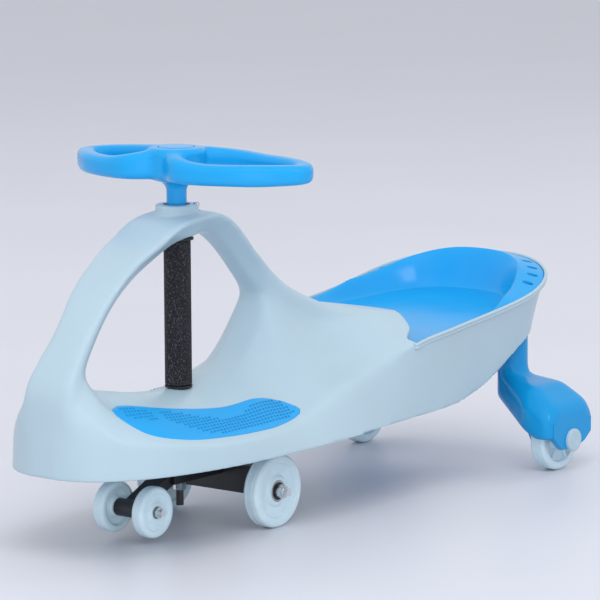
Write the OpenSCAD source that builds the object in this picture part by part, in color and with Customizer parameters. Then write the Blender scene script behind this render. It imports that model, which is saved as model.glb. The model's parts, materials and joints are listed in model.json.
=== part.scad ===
// Wiggle car: a moulded ride-on toy that rolls forward when its steering wheel is swung from side to side.
// Millimetres. +X is forward, +Y is the rider's left, +Z is up and the floor is z = 0.
// Lengths along X are taken from the steering axis, then shifted so that the part is centred on its own box.

/* [Body] */
// Nose ahead of the steering axis
nose_reach = 206; // [195:1:220]
// Tail behind the steering axis
tail_reach = 555; // [545:1:580]
// Length of the seat's round end
tail_round = 115; // [105:1:125]
// Width of the deck and the seat hull
body_w = 236; // [226:1:250]
// Height of the skirt's lower edge above the floor
skirt_z = 85; // [82:1:92]
// Height of the deck's side edge beside the foot pads
edge_z = 108; // [104:1:114]
// Height of the deck at the steering column
deck_z = 146; // [140:1:152]
// Height at which the arch leaves the nose
prow_z = 166; // [158:1:174]
// Wall of the body moulding
wall = 4; // [3:0.5:5]

/* [Arch] */
// Height of the top of the arch
arch_top = 325; // [312:1:338]
// Width of the arch's outer face at the column
arch_w = 72; // [62:1:84]
// Width of the arch's inner face at the column
arch_inner_w = 34; // [28:1:44]
// Thickness of the arch at the column
arch_t = 26; // [22:1:30]
// Diameter of the collar on the arch
collar_d = 43; // [40:1:48]
// Height of the collar above the arch
collar_h = 8; // [5:1:12]

/* [Seat] */
// Front corners of the seat behind the steering axis
seat_front = 250; // [240:1:260]
// How far the saddle's middle reaches back past those corners
pommel = 62; // [45:1:75]
// Height of the seat rim at its front corners
rim_front_z = 169; // [165:1:175]
// Height of the seat rim at the tail
rim_tail_z = 223; // [215:1:235]
// Width of the body's lip outside the seat tray
rim_lip = 3; // [2:0.5:5]
// Height of the seat floor at its front corners
floor_front_z = 162; // [156:1:164]
// Rise of the seat floor for each millimetre towards the tail
floor_slope = 0.085; // [0.05:0.005:0.1]
// Thickness of the seat tray
tray_t = 4; // [3:0.5:5]
// Width of the ledge behind the rider
ledge_w = 26; // [18:1:32]
// Rise of that ledge to its inner edge
ledge_rise = 4; // [0:0.5:6]
// Length of a slot in that ledge
slot_l = 11; // [8:1:14]
// Width of a slot in that ledge
slot_w = 4; // [2:0.5:5]

/* [Foot pads] */
// How far a pad stands above the deck
pad_proud = 1; // [0.5:0.5:2]
// Depth of the pocket that a pad lies in
pad_depth = 2; // [1:0.5:2.5]

/* [Steering] */
// Height of the top of the steering wheel above the collar
wheel_top = 57; // [51:1:67]
// Width of the steering wheel over its grips
wheel_span = 298; // [280:1:316]
// Width of a grip bar
bar_w = 20; // [17:1:23]
// Height of a grip bar at the hub
bar_h = 24; // [21:1:27]
// Diameter of the steering wheel's hub
hub_d = 58; // [52:1:66]
// Diameter of the cap on the hub
cap_d = 36; // [30:1:40]
// Outer diameter of the stem under the hub
stem_d = 20.4; // [18:0.1:22]
// Diameter of the steering shaft
shaft_d = 14; // [12:0.5:15]
// Outer diameter of the column sleeve
sleeve_d = 27.5; // [24:0.5:30]
// Diameter of the thread under the shaft
thread_d = 6; // [5:0.5:8]

/* [Front running gear] */
// Diameter of a front wheel
front_d = 76; // [70:1:80]
// Width of a front wheel
front_w = 18; // [16:1:22]
// Distance between the middles of the front wheels
front_track = 142; // [136:1:152]
// Front axle behind the steering axis
front_back = 62; // [56:1:66]
// Width of the bracket's crossbeam
beam_w = 22; // [18:1:26]
// Width of the bracket's arm
arm_w = 30; // [26:1:34]
// Thickness of the bracket's arm
arm_t = 11; // [9:1:13]
// Diameter of the front axle
front_axle_d = 8; // [7:0.5:9]
// Diameter of a balance wheel
balance_d = 52; // [46:1:56]
// Width of a balance wheel
balance_w = 14; // [12:1:16]
// Distance between the middles of the balance wheels
balance_track = 51; // [48:1:58]
// Balance axle ahead of the steering axis
balance_lead = 73; // [68:1:80]
// Height of the balance wheels above the floor
balance_lift = 6.5; // [4:0.5:10]
// Diameter of the balance axle
balance_axle_d = 6; // [5:0.5:7]

/* [Rear running gear] */
// Diameter of a rear wheel
rear_d = 70; // [64:1:74]
// Width of a rear wheel
rear_w = 18; // [16:1:20]
// Distance between the middles of the rear wheels
rear_track = 264; // [260:1:270]
// Rear axles behind the straight sides of the seat hull
rear_back = 40; // [34:1:46]
// Diameter of a rear axle
rear_axle_d = 8; // [7:0.5:9]
// Diameter of a leg's post
post_d = 34; // [30:1:36]
// Thickness of the wheel housing's outer wall
boot_wall = 6; // [5:0.5:8]
// Gap between a rear wheel and the housing's side walls
boot_gap = 9; // [7:0.5:11]
// Diameter of the cap over the rear axle
axle_cap_d = 25; // [20:1:30]
// Diameter of the lugs round a rear axle in the housing's walls
lug_d = 22; // [18:1:26]
// Thickness of the cap over the rear axle
axle_cap_t = 4; // [3:0.5:6]

/* [Fits] */
// Gap around pieces that lie in one another
skin_gap = 0.4; // [0.3:0.1:0.6]
// Gap between faces that turn past each other
face_gap = 0.4; // [0.3:0.1:0.6]
// Radial play of a shaft in its bush
run_gap = 0.05; // [0.03:0.01:0.08]

/* [Hidden] */
$fn = 64;

pale = [0.74, 0.84, 0.90];
blue = [0.12, 0.58, 0.93];
black = [0.06, 0.06, 0.07];
steel = [0.78, 0.79, 0.80];
grey = [0.45, 0.47, 0.50];

// Steering axis measured from the middle of the part's box
column_x = (tail_reach - nose_reach) / 2;
half_w = body_w / 2;
// Stations where the straight sides of the plan start to round into the nose and the tail
nose_mid = -66;
tail_mid = tail_reach - tail_round;
// Roundness of those two ends
nose_power = 2.5;
tail_power = 2.4;
// The skirt's foot stops short of the tail and is narrower than the rim
foot_reach = tail_reach - 20;
foot_share = 0.865;
// Inset of the deck edge from the widest line of the hull, beside the pads and along the shoulders
edge_inset = 4;
shoulder_inset = 18;
sliver = 0.4;
mesh_fn = 32;
body_fn = 48;

// Column heights
collar_top = arch_top + collar_h;
wheel_crown = collar_top + wheel_top;
arch_rise = arch_top - deck_z;
arch_under = arch_top - arch_t;
bush_flange_t = 2;
upper_bush_d = stem_d + 7;
lower_bush_d = shaft_d + 8;
bush_rim = 3;
stem_foot = arch_under + face_gap;
sleeve_top = arch_under - bush_flange_t - face_gap;
boss_foot = deck_z - 46;
bush_seat = deck_z + 0.5;
sleeve_foot = bush_seat + bush_flange_t + face_gap;
deck_boss_d = lower_bush_d + 2 * wall + 2;
washer_t = 2.5;
thrust_d = lower_bush_d + 2 * bush_rim;
bracket_top = boss_foot - washer_t - 2 * face_gap;
arm_z0 = front_d / 2 + 13;
arm_z1 = arm_z0 + arm_t;
// The arm reaches this far past the shaft, and its narrow end carries the balance wheels
arm_lead = 26;
yoke_w = 22;
nut_h = 8;
hub_foot = wheel_crown - 34;
hub_top = wheel_crown - 2;
hex_af = shaft_d - 3;
drive_top = hub_foot + 18;
bolt_d = 6;
bolt_grip = 12;

// Front gear
bearing_d = front_axle_d + 14;
bearing_w = 7;
front_z = front_d / 2;
beam_end = front_track / 2 - front_w / 2 - 4;
nut_af = front_axle_d + 5;
nut_t = 7;
balance_z = balance_d / 2 + balance_lift;
tube_d = balance_axle_d + 12;
tube_end = balance_track / 2 - balance_w / 2 - face_gap;
balance_nut_af = balance_axle_d + 4;

// Rear gear
rear_z = rear_d / 2;
rear_y = rear_track / 2;
rear_x = -tail_mid - rear_back;
well_gap = 4;
well_in = rear_y - rear_w / 2 - boot_gap;
well_out = rear_y + rear_w / 2 + boot_gap;
boot_in = well_in - boot_wall;
boot_out = well_out + boot_wall;
boot_front = rear_x + rear_d / 2 + well_gap + 6;
boot_rear = rear_x - rear_d / 2 - well_gap - 6;
boot_foot = rear_z + 4;
post_x = rear_x - 6;
post_y = boot_in - 36;
post_foot = boot_foot + 34;
socket_foot = skirt_z + 62;
post_top = tray_under(post_x) - 14;
socket_top = post_top + face_gap + wall;

// Seat fixing
boss_h = 10;
boss_d = 12;
screw_d = 4;
screw_head_h = 2.5;
leg_screw_l = 16;
rib_t = 5;
front_rib_x = -(seat_front + pommel + 20);
rear_rib_x = post_x;
front_boss_y = 70;
rear_boss_y = 34;
seat_bosses = [for (at = [[front_rib_x, front_boss_y], [rear_rib_x, rear_boss_y]]) for (s = [-1, 1])
    [at[0], s * at[1]]];

// General curves

function clamp(v, low, high) = max(low, min(high, v));
function ease(t) = let (c = clamp(t, 0, 1)) c * c * (3 - 2 * c);
function mix(a, b, t) = a + (b - a) * t;
function span_at(list, x, i = 0) = i >= len(list) - 2 || x < list[i + 1][0] ? i : span_at(list, x, i + 1);
function tangent(list, i) =
    let (a = list[max(i - 1, 0)], b = list[min(i + 1, len(list) - 1)]) (b[1] - a[1]) / (b[0] - a[0]);
// Value at x on a smooth curve through [x, value] stations in rising order
function along(list, x) =
    let (i = span_at(list, x), h = list[i + 1][0] - list[i][0], t = clamp((x - list[i][0]) / h, 0, 1))
    (1 + 2 * t) * (1 - t) * (1 - t) * list[i][1] + t * t * (3 - 2 * t) * list[i + 1][1]
    + h * t * (1 - t) * ((1 - t) * tangent(list, i) - t * tangent(list, i + 1));
// Row at s on a smooth curve through a list of equal rows, s counted in rows
function row_at(rows, s) =
    let (i = clamp(floor(s), 0, len(rows) - 2), t = s - i, a = rows[max(i - 1, 0)], b = rows[i],
         c = rows[i + 1], d = rows[min(i + 2, len(rows) - 1)])
    0.5 * (2 * b + (c - a) * t + (2 * a - 5 * b + 4 * c - d) * t * t + (3 * b - a - 3 * c + d) * t * t * t);
// Superellipse: width left at a share u of the way to the end
function taper(u, power) = pow(max(0, 1 - pow(clamp(u, 0, 1), power)), 1 / power);

// Closed skin through rings of equal count, with flat ends
module loft(rings) {
    n = len(rings[0]);
    m = len(rings);
    points = [for (ring = rings) for (p = ring) p];
    sides = [for (i = [0 : m - 2]) for (j = [0 : n - 1]) let (k = (j + 1) % n)
        each [[i * n + j, (i + 1) * n + j, (i + 1) * n + k], [i * n + j, (i + 1) * n + k, i * n + k]]];
    ends = [[for (j = [0 : n - 1]) j], [for (j = [n - 1 : -1 : 0]) (m - 1) * n + j]];
    polyhedron(points, concat(sides, ends));
}

module at_column() {
    translate([column_x, 0, 0]) children();
}

// Places its children on both sides, the second one mirrored
module both_sides() {
    for (s = [0, 1]) mirror([0, s, 0]) children();
}

// Ring about +Z
module ring(outer_d, inner_d, z0, z1) {
    difference() {
        translate([0, 0, z0]) cylinder(d = outer_d, h = z1 - z0);
        translate([0, 0, z0 - 1]) cylinder(d = inner_d, h = z1 - z0 + 2);
    }
}

// Turns +Z into +Y at a point
module along_y(x, y, z) {
    translate([x, y, z]) rotate([-90, 0, 0]) children();
}

// Body surfaces

function plan(x) =
    x > nose_mid ? taper((x - nose_mid) / (nose_reach - nose_mid), nose_power)
    : taper((-tail_mid - x) / (tail_reach - tail_mid), tail_power);
function edge_half(x) = max(plan(x) * half_w - along(shoulder_line, x), plan(x) * half_w * 0.6);
function foot_half(x) =
    x > nose_mid ? plan(x) * half_w
    : max(half_w * mix(1, foot_share, clamp((nose_mid - x) / (tail_mid + nose_mid), 0, 1))
        * taper((-tail_mid - x) / (foot_reach - tail_mid), tail_power), 0.5 * edge_half(x));

shoulder_line = [
    [-seat_front - 10, 0], [-0.94 * seat_front, 5], [-0.8 * seat_front, 0.75 * shoulder_inset],
    [-0.54 * seat_front, shoulder_inset], [-0.28 * seat_front, 0.9 * shoulder_inset],
    [-0.08 * seat_front, 0.45 * shoulder_inset], [0.12 * seat_front, edge_inset], [nose_reach, edge_inset]
];
// Height at a share of the way from the deck to the top of the arch
function risen(share) = deck_z + share * arch_rise;
edge_line = [
    [-tail_reach, rim_tail_z], [-tail_reach + 35, rim_tail_z - 11],
    [-tail_mid, mix(rim_front_z, rim_tail_z, 0.44)], [-seat_front - 65, rim_front_z + 8],
    [-seat_front, rim_front_z], [-0.8 * seat_front, mix(edge_z, rim_front_z, 0.73)],
    [-0.54 * seat_front, mix(edge_z, rim_front_z, 0.44)], [-0.4 * seat_front, mix(edge_z, rim_front_z, 0.25)],
    [-0.28 * seat_front, mix(edge_z, rim_front_z, 0.09)], [-0.14 * seat_front, edge_z + 1],
    [0, edge_z], [0.3 * nose_reach, edge_z + 1], [0.6 * nose_reach, edge_z + 8],
    [0.8 * nose_reach, edge_z + 16], [0.91 * nose_reach, mix(edge_z, prow_z, 0.5)],
    [0.965 * nose_reach, mix(edge_z, prow_z, 0.75)], [nose_reach, prow_z]
];
crown_line = [
    [-tail_reach, rim_tail_z], [-tail_reach + 35, rim_tail_z - 13],
    [-tail_mid, mix(rim_front_z, rim_tail_z, 0.39)], [-seat_front - pommel - 30, rim_front_z + 15],
    [-seat_front - pommel, rim_front_z + 20], [-seat_front, rim_front_z + 30],
    [-0.8 * seat_front, risen(0.36)], [-0.62 * seat_front, risen(0.41)], [-0.54 * seat_front, risen(0.45)],
    [-0.47 * seat_front, risen(0.44)], [-0.43 * seat_front, risen(0.31)], [-0.37 * seat_front, risen(0.18)],
    [-0.3 * seat_front, risen(0.09)], [-0.16 * seat_front, risen(0.04)], [0, deck_z],
    [0.3 * nose_reach, risen(0.02)], [0.5 * nose_reach, risen(0.06)], [0.7 * nose_reach, risen(0.12)],
    [0.79 * nose_reach, risen(0.21)], [0.84 * nose_reach, risen(0.31)], [0.9 * nose_reach, risen(0.28)],
    [nose_reach, prow_z]
];
foot_line = [
    [-tail_reach, rim_tail_z - 5], [-tail_reach + 7, rim_tail_z - 28], [-tail_reach + 15, rim_tail_z - 51],
    [-tail_reach + 25, skirt_z + 73], [-tail_reach + 45, skirt_z + 65], [-tail_reach + 84, skirt_z + 56],
    [-tail_mid, skirt_z + 43], [-tail_mid + 31, skirt_z + 30], [-tail_mid + 68, skirt_z + 21],
    [-tail_mid + 112, skirt_z + 7], [-0.85 * seat_front, skirt_z + 3], [-0.4 * seat_front, skirt_z],
    [nose_reach, skirt_z]
];

// Height of the outer skin at x and at a share t of the way from the middle to the edge
function deck_fall(t) = 1 - (sqrt(t * t + 0.0625) - 0.25) / (sqrt(1.0625) - 0.25);
function lip_fall(t) = ease((0.92 - t) / 0.52);
function saddle_fall(x, t) =
    let (deck = mix(deck_fall(t), 1 - pow(t, 1.4), ease((-x - 150) / 80)))
    mix(deck, lip_fall(t), ease((-x - seat_front + 35) / 50));
function neck_fall(t) = pow(1 - clamp((t - 0.17) / 0.83, 0, 1), 1.9);
function neck_share(x) = ease((-x - 40) / 70) * ease((x + seat_front - 10) / 80);
function skin_z(x, t) =
    mix(along(edge_line, x), along(crown_line, x), mix(saddle_fall(x, t), neck_fall(t), neck_share(x)));

// Foot of the cavity: below the skirt where the hull is open, above it along the closed transom
function cavity_foot(x, inset) =
    x > -foot_reach + 6 ? along(foot_line, x) - 8 * inset
    : min(along(foot_line, x) + 2.5 * inset, along(edge_line, x) - inset - 2);
// Half section at x, from the middle of the top to the foot of the skirt, moved in by an inset
function half_section(x, inset) =
    let (edge_y = max(edge_half(x) - inset, 1), foot_y = max(foot_half(x) - inset, 0.8),
         edge_h = along(edge_line, x), foot_h = along(foot_line, x))
    concat(
        [for (t = [0, 0.1, 0.2, 0.32, 0.46, 0.6, 0.74, 0.88, 1]) [t * edge_y, skin_z(x, t) - 1.15 * inset]],
        [for (s = [0.2, 0.5, 0.8, 1]) [mix(edge_y, foot_y, pow(s, 0.7)),
            inset == 0 ? mix(edge_h, foot_h, s)
            : max(mix(edge_h - inset, foot_h, s), mix(edge_h - inset, cavity_foot(x, inset), s))]],
        inset == 0 ? [] : [[0.98 * foot_y, cavity_foot(x, inset) - 0.5]]);
function section_ring(x, station, inset) =
    let (half = half_section(station, inset), last = len(half) - 1)
    concat([for (p = half) [x, p[0], p[1]]], [for (i = [last : -1 : 1]) [x, -half[i][0], half[i][1]]]);
stations = concat(
    [for (a = [0 : 7.5 : 90]) nose_mid + (nose_reach - nose_mid - sliver) * cos(a)],
    [for (i = [1 : 18]) mix(nose_mid, -tail_mid, i / 18)],
    [for (a = [10 : 10 : 90]) -tail_mid - (tail_reach - tail_mid - sliver) * sin(a)]);

module hull_solid(inset = 0) {
    loft([for (x = stations) section_ring(x > nose_mid ? mix(nose_mid, x, 1 - inset / (nose_reach - nose_mid))
        : x < -tail_mid ? mix(-tail_mid, x, 1 - inset / (tail_reach - tail_mid)) : x, x, inset)]);
}

// Arch from the nose over the column to the saddle: x and z of the outer face, its half width,
// the half width of the inner face and the thickness
arch_rows = [
    [nose_reach - 4, edge_z + 16, 40, 28, 32], [nose_reach - 1, prow_z - 18, 34, 25, 32],
    [nose_reach - 7, prow_z + 13, 30, 20, 31], [nose_reach - 45, risen(0.435), 26, 15, 25],
    [nose_reach - 77, risen(0.615), 28, 14, 22], [96, risen(0.76), 31, arch_inner_w / 2 - 3, 22],
    [61, risen(0.87), arch_w / 2 - 1, arch_inner_w / 2 - 2, 23],
    [29, risen(0.96), arch_w / 2, arch_inner_w / 2 - 1, arch_t - 1],
    [0, arch_top, arch_w / 2, arch_inner_w / 2, arch_t],
    [-27, arch_top, arch_w / 2, arch_inner_w / 2 - 1, arch_t - 2],
    [-51, risen(0.95), arch_w / 2 - 2, arch_inner_w / 2 - 2, arch_t - 6],
    [-73, risen(0.86), 31, 14, 18], [-95, risen(0.743), 29, 13, 18], [-121, risen(0.62), 29, 14, 23],
    [-153, risen(0.49), 32, 20, 30], [-196, risen(0.375), 40, 30, 34], [-240, risen(0.28), 50, 40, 30],
    [-285, risen(0.18), 56, 46, 22]
];
arch_steps = 32;
function arch_row(i) = row_at(arch_rows, i * (len(arch_rows) - 1) / arch_steps);
function arch_tilt(i) =
    let (a = arch_row(max(i - 1, 0)), b = arch_row(min(i + 1, arch_steps))) atan2(b[1] - a[1], b[0] - a[0]);

// Ring round the arch at a step: outer face, left flank, inner face, right flank
function arch_ring(i, inset) =
    let (row = arch_row(i), tilt = arch_tilt(i), outer = row[2] - 1.3 * inset, inner = max(row[3] - inset, 3),
         depth = row[4] - inset, half = [[outer - 4, inset + 1], [outer, inset + 4],
            [mix(outer, inner, 0.45), row[4] / 2], [inner + 1, depth - 4], [max(inner - 3, 1), depth]])
    [for (q = concat([[0, inset]], half, [[0, depth]], [for (k = [4 : -1 : 0]) [-half[k][0], half[k][1]]]))
        [row[0] - q[1] * sin(tilt), q[0], row[1] + q[1] * cos(tilt)]];

module arch_solid(inset = 0) {
    loft([for (i = [0 : arch_steps]) arch_ring(i, inset)]);
}

// Seat

function lip_x(y) = -seat_front - pommel * (1 - pow(min(1, abs(y) / half_w), 1.6));
function floor_z(x) = floor_front_z + floor_slope * (-seat_front - x);
function tray_under(x) = floor_z(x) - tray_t;
tray_inset = rim_lip + skin_gap;
wall_run = 17;
// How far the tray reaches under the saddle
lip_tuck = 14;
// How far the body's opening falls away under the ledge
ledge_room = 3;
// Tray surface at a distance d inside the edge of the body
function ledge_at(x) = ledge_w * ease((-x - tail_mid + 60) / 110);
function tray_z(x, d, rise = ledge_rise) =
    let (w = ledge_at(x), across = clamp((d - tray_inset) / max(w, 1), 0, 1) * min(1, w / 9),
         rim = along(edge_line, x) - 1 + rise * across)
    mix(max(rim, floor_z(x)), floor_z(x), ease((d - tray_inset - w) / wall_run));
// Closed outline of the seat, d inside the edge of the body and back from the saddle's lip
function tuck(y) = lip_tuck * ease((half_w - abs(y) - wall_run - 6) / 20);
function seat_loop(d, back, tucked = 0) =
    let (b = half_w - d, a = tail_reach - tail_mid - d, corner = lip_x(b) - back,
         side = [for (i = [1 : 7]) mix(corner, -tail_mid, i / 8)])
    concat(
        [for (i = [0 : 16]) let (y = mix(-b, b, i / 16)) [lip_x(y) - back + tucked * tuck(y), y]],
        [for (x = side) [x, b]],
        [for (q = [90 : -7.5 : -90]) [-tail_mid - a * pow(cos(q), 2 / tail_power),
            b * sign(q) * pow(abs(sin(q)), 2 / tail_power)]],
        [for (i = [6 : -1 : 0]) [side[i], -b]]);
function tray_ring(d, back, drop, tucked = 0, rise = ledge_rise) =
    [for (p = seat_loop(d, back, tucked))
        [p[0], p[1], tray_z(p[0], p[0] < -tail_mid ? d : half_w - abs(p[1]), rise) - drop]];
tray_steps = [0, 4, 8, 12, 17, 22, 27, 33, 44];

// Slots at both rear quarters of the ledge, square to its edge
module ledge_slots() {
    at = tray_inset + 0.45 * ledge_w;
    reach = tail_round - at;
    for (q = [34 : 13 : 73]) {
        x = -tail_mid - reach * pow(cos(q), 2 / tail_power);
        y = (half_w - at) * pow(sin(q), 2 / tail_power);
        both_sides() translate([x, y, floor_z(x)]) rotate([0, 0, 180 - q]) hull() {
            for (s = [-1, 1]) translate([s * (slot_l - slot_w) / 2, 0, 0])
                cylinder(d = slot_w, h = 80, $fn = mesh_fn);
        }
    }
}

module seat_tray() {
    color(blue) at_column() difference() {
        union() {
            loft(concat(
                [for (i = [len(tray_steps) - 1 : -1 : 0])
                    tray_ring(tray_inset + tray_steps[i], skin_gap + tray_steps[i] / 5, tray_t, 1)],
                [for (s = tray_steps) tray_ring(tray_inset + s, skin_gap + s / 5, 0, 1)]));
            for (p = seat_bosses) translate([p[0], p[1], tray_under(p[0]) - boss_h])
                cylinder(d = boss_d, h = boss_h + tray_t / 2, $fn = mesh_fn);
        }
        ledge_slots();
        for (p = seat_bosses) translate([p[0], p[1], tray_under(p[0]) - boss_h - 1])
            cylinder(d = screw_d + 2 * run_gap, h = boss_h, $fn = mesh_fn);
    }
}

module seat_screws() {
    color(steel) at_column() for (p = seat_bosses)
        translate([p[0], p[1], tray_under(p[0]) - boss_h - skin_gap - wall]) {
            translate([0, 0, -screw_head_h]) cylinder(d = 2 * screw_d, h = screw_head_h);
            cylinder(d = screw_d, h = wall + skin_gap + boss_h - 2);
        }
}

// Ribs across the hull, pads under the tray's bosses, sockets for the legs and gussets round the deck boss
module seat_ribs() {
    for (x = [front_rib_x, rear_rib_x]) {
        top = tray_under(x) - boss_h - skin_gap;
        low = along(foot_line, x) + 8;
        translate([x - rib_t / 2, -half_w, low]) cube([rib_t, body_w, top - low]);
    }
    for (p = seat_bosses) translate([p[0], p[1], tray_under(p[0]) - boss_h - skin_gap - wall]) hull() {
        for (s = [-1, 1]) translate([0, s * 4, 0]) cylinder(d = boss_d + 6, h = wall, $fn = mesh_fn);
    }
    both_sides() translate([post_x, post_y, socket_foot])
        cylinder(r = socket_r, h = socket_top - socket_foot, $fn = body_fn);
    for (a = [45 : 90 : 315]) rotate([0, 0, a]) hull() {
        translate([deck_boss_d / 2 - 1, -1.5, boss_foot + 4]) cube([1, 3, deck_z - boss_foot - 14]);
        translate([deck_boss_d / 2 + 16, -1.5, deck_z - 24]) cube([1, 3, 12]);
    }
}

// Wall that closes the gap between the saddle's lip and the tray
module lip_curtain() {
    b = half_w - 1.5 * rim_lip;
    edge = [for (i = [0 : 20]) let (y = mix(-b, b, i / 20), x = lip_x(y))
        [x, y, tray_z(x, half_w - abs(y)) + skin_gap]];
    foot = concat([for (p = edge) p - [wall, 0, 0]], [for (i = [20 : -1 : 0]) edge[i] + [wall, 0, 0]]);
    loft([[for (p = foot) [p[0], p[1], arch_top]], foot]);
}

module rib_holes() {
    for (p = seat_bosses) {
        top = tray_under(p[0]) - boss_h - skin_gap;
        translate([p[0], p[1], top - wall - 1])
            cylinder(d = screw_d + 2 * skin_gap, h = wall + 2, $fn = mesh_fn);
        translate([p[0], p[1], top - wall - 40]) cylinder(d = 2 * screw_d + 4, h = 40, $fn = mesh_fn);
    }
    both_sides() {
        translate([post_x, post_y, 0])
            cylinder(d = post_d + 2 * skin_gap, h = post_top + face_gap, $fn = body_fn);
        translate([post_x, post_y, leg_screw_z]) rotate([0, 90, 0])
            cylinder(d = screw_d + 2 * skin_gap, h = post_d, $fn = mesh_fn);
        translate([post_x + socket_r, post_y, leg_screw_z]) rotate([0, 90, 0])
            cylinder(d = 3 * screw_d, h = 14, $fn = mesh_fn);
    }
}
socket_r = post_d / 2 + skin_gap + wall;
leg_screw_z = (socket_foot + post_top) / 2;

// Left foot pad: its inner and outer edge as shares of the deck's half width along X
pad_rear = -84;
pad_front = 0.75 * nose_reach;
pad_inner = [
    [pad_rear, 0.85], [0.93 * pad_rear, 0.77], [0.71 * pad_rear, 0.65], [0, 0.49],
    [0.32 * pad_front, 0.425], [0.65 * pad_front, 0.383], [0.87 * pad_front, 0.41], [pad_front, 0.56]
];
pad_outer = [
    [pad_rear, 0.89], [0.91 * pad_rear, 0.938], [0.62 * pad_rear, 0.949], [0, 0.92],
    [0.32 * pad_front, 0.904], [0.65 * pad_front, 0.906], [0.87 * pad_front, 0.842], [pad_front, 0.64]
];
function pad_row(x, grow, raise) =
    let (c = clamp(x, pad_rear, pad_front), half = edge_half(c), y0 = half * along(pad_inner, c) - grow,
         y1 = half * along(pad_outer, c) + grow)
    [for (k = [0 : 6]) let (y = mix(y0, y1, k / 6)) [x, y, skin_z(x, min(1, y / edge_half(x))) + raise]];
function pad_rows(grow, raise) =
    [for (a = [0 : 9 : 180]) pad_row(mix(pad_rear - grow, pad_front + grow, (1 - cos(a)) / 2), grow, raise)];

// Sheet that follows the deck between two offsets from its skin
module pad_sheet(grow, low, high) {
    lower = pad_rows(grow, low);
    upper = pad_rows(grow, high);
    last = len(lower[0]) - 1;
    loft([for (i = [0 : len(lower) - 1]) concat([for (k = [0 : last]) lower[i][k]],
        [for (k = [last : -1 : 0]) upper[i][k]])]);
}

module foot_pad_left() {
    color(blue) at_column() pad_sheet(0, skin_gap - pad_depth, pad_proud);
}

module foot_pad_right() {
    color(blue) at_column() mirror([0, 1, 0]) pad_sheet(0, skin_gap - pad_depth, pad_proud);
}

// Inside of the body: hull and arch, less the bosses, ribs and curtain that stand in them
module body_cavity() {
    difference() {
        union() {
            hull_solid(wall);
            arch_solid(wall);
        }
        column_bosses();
        seat_ribs();
        lip_curtain();
    }
}

module column_bosses() {
    translate([0, 0, arch_under + 3]) cylinder(d = collar_d, h = collar_top - arch_under - 3, $fn = body_fn);
    translate([0, 0, boss_foot]) cylinder(d = deck_boss_d, h = bush_seat - boss_foot, $fn = body_fn);
}

module body_shell() {
    color(pale) at_column() difference() {
        union() {
            hull_solid();
            arch_solid();
            column_bosses();
        }
        body_cavity();
        translate([0, 0, arch_under - 20])
            cylinder(d = upper_bush_d + 2 * skin_gap, h = collar_top - arch_under + 30, $fn = body_fn);
        translate([0, 0, arch_under - 20])
            cylinder(d = upper_bush_d + 2 * bush_rim + 2 * skin_gap, h = 20, $fn = body_fn);
        translate([0, 0, boss_foot - 1])
            cylinder(d = lower_bush_d + 2 * skin_gap, h = deck_z - boss_foot + 20, $fn = body_fn);
        translate([0, 0, bush_seat])
            cylinder(d = lower_bush_d + 2 * bush_rim + 2 * skin_gap, h = 20, $fn = body_fn);
        seat_opening();
        rib_holes();
        both_sides() pad_sheet(skin_gap, -pad_depth, 30);
    }
}

// Everything above the tray's underside inside the body's lip
module seat_opening() {
    steps = [44, 34, 24, 14, 6, 0];
    loft(concat(
        [for (s = steps) tray_ring(rim_lip + s, s / 5, tray_t + skin_gap, 0, -ledge_room)],
        [for (s = [0, 44]) [for (p = seat_loop(rim_lip + s, s / 5)) [p[0], p[1], rim_tail_z + 60 + s]]]));
}

// Column

module upper_bush() {
    color(grey) at_column() difference() {
        union() {
            translate([0, 0, arch_under - bush_flange_t])
                cylinder(d = upper_bush_d + 2 * bush_rim, h = bush_flange_t);
            translate([0, 0, arch_under - 0.5]) cylinder(d = upper_bush_d, h = collar_top - arch_under - 0.5);
        }
        translate([0, 0, arch_under - 10])
            cylinder(d = stem_d + 2 * run_gap, h = collar_top - arch_under + 20);
    }
}

module lower_bush() {
    color(grey) at_column() difference() {
        union() {
            translate([0, 0, bush_seat]) cylinder(d = lower_bush_d + 2 * bush_rim, h = bush_flange_t);
            translate([0, 0, boss_foot]) cylinder(d = lower_bush_d, h = bush_seat - boss_foot + 0.5);
        }
        translate([0, 0, boss_foot - 1]) cylinder(d = shaft_d + 2 * run_gap, h = deck_z - boss_foot + 20);
    }
}

module steering_shaft() {
    thread_foot = arm_z0 - washer_t - nut_h - 14;
    color(steel) at_column() difference() {
        union() {
            translate([0, 0, arm_z1]) cylinder(d = shaft_d, h = hub_foot - arm_z1);
            translate([0, 0, hub_foot - 1])
                cylinder(d = hex_af / cos(30), h = drive_top - hub_foot + 1, $fn = 6);
            translate([0, 0, thread_foot]) cylinder(d = thread_d, h = arm_z1 - thread_foot + 1);
        }
        translate([0, 0, drive_top - bolt_grip - 1]) cylinder(d = bolt_d + 2 * run_gap, h = bolt_grip + 2);
    }
}

module column_sleeve() {
    color(black) at_column() ring(sleeve_d, shaft_d + 2 * run_gap, sleeve_foot, sleeve_top);
}

module thrust_washer() {
    foot = bracket_top + face_gap;
    color(steel) at_column() ring(thrust_d, shaft_d + 2 * run_gap, foot, foot + washer_t);
}

module wheel_stem() {
    color(blue) at_column() difference() {
        union() {
            translate([0, 0, stem_foot]) cylinder(d = stem_d, h = hub_foot - stem_foot);
            translate([0, 0, hub_foot - 10]) cylinder(d1 = stem_d, d2 = stem_d + 12, h = 10);
        }
        translate([0, 0, stem_foot - 1]) cylinder(d = shaft_d + 2 * run_gap, h = hub_foot - stem_foot + 2);
    }
}

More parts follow.
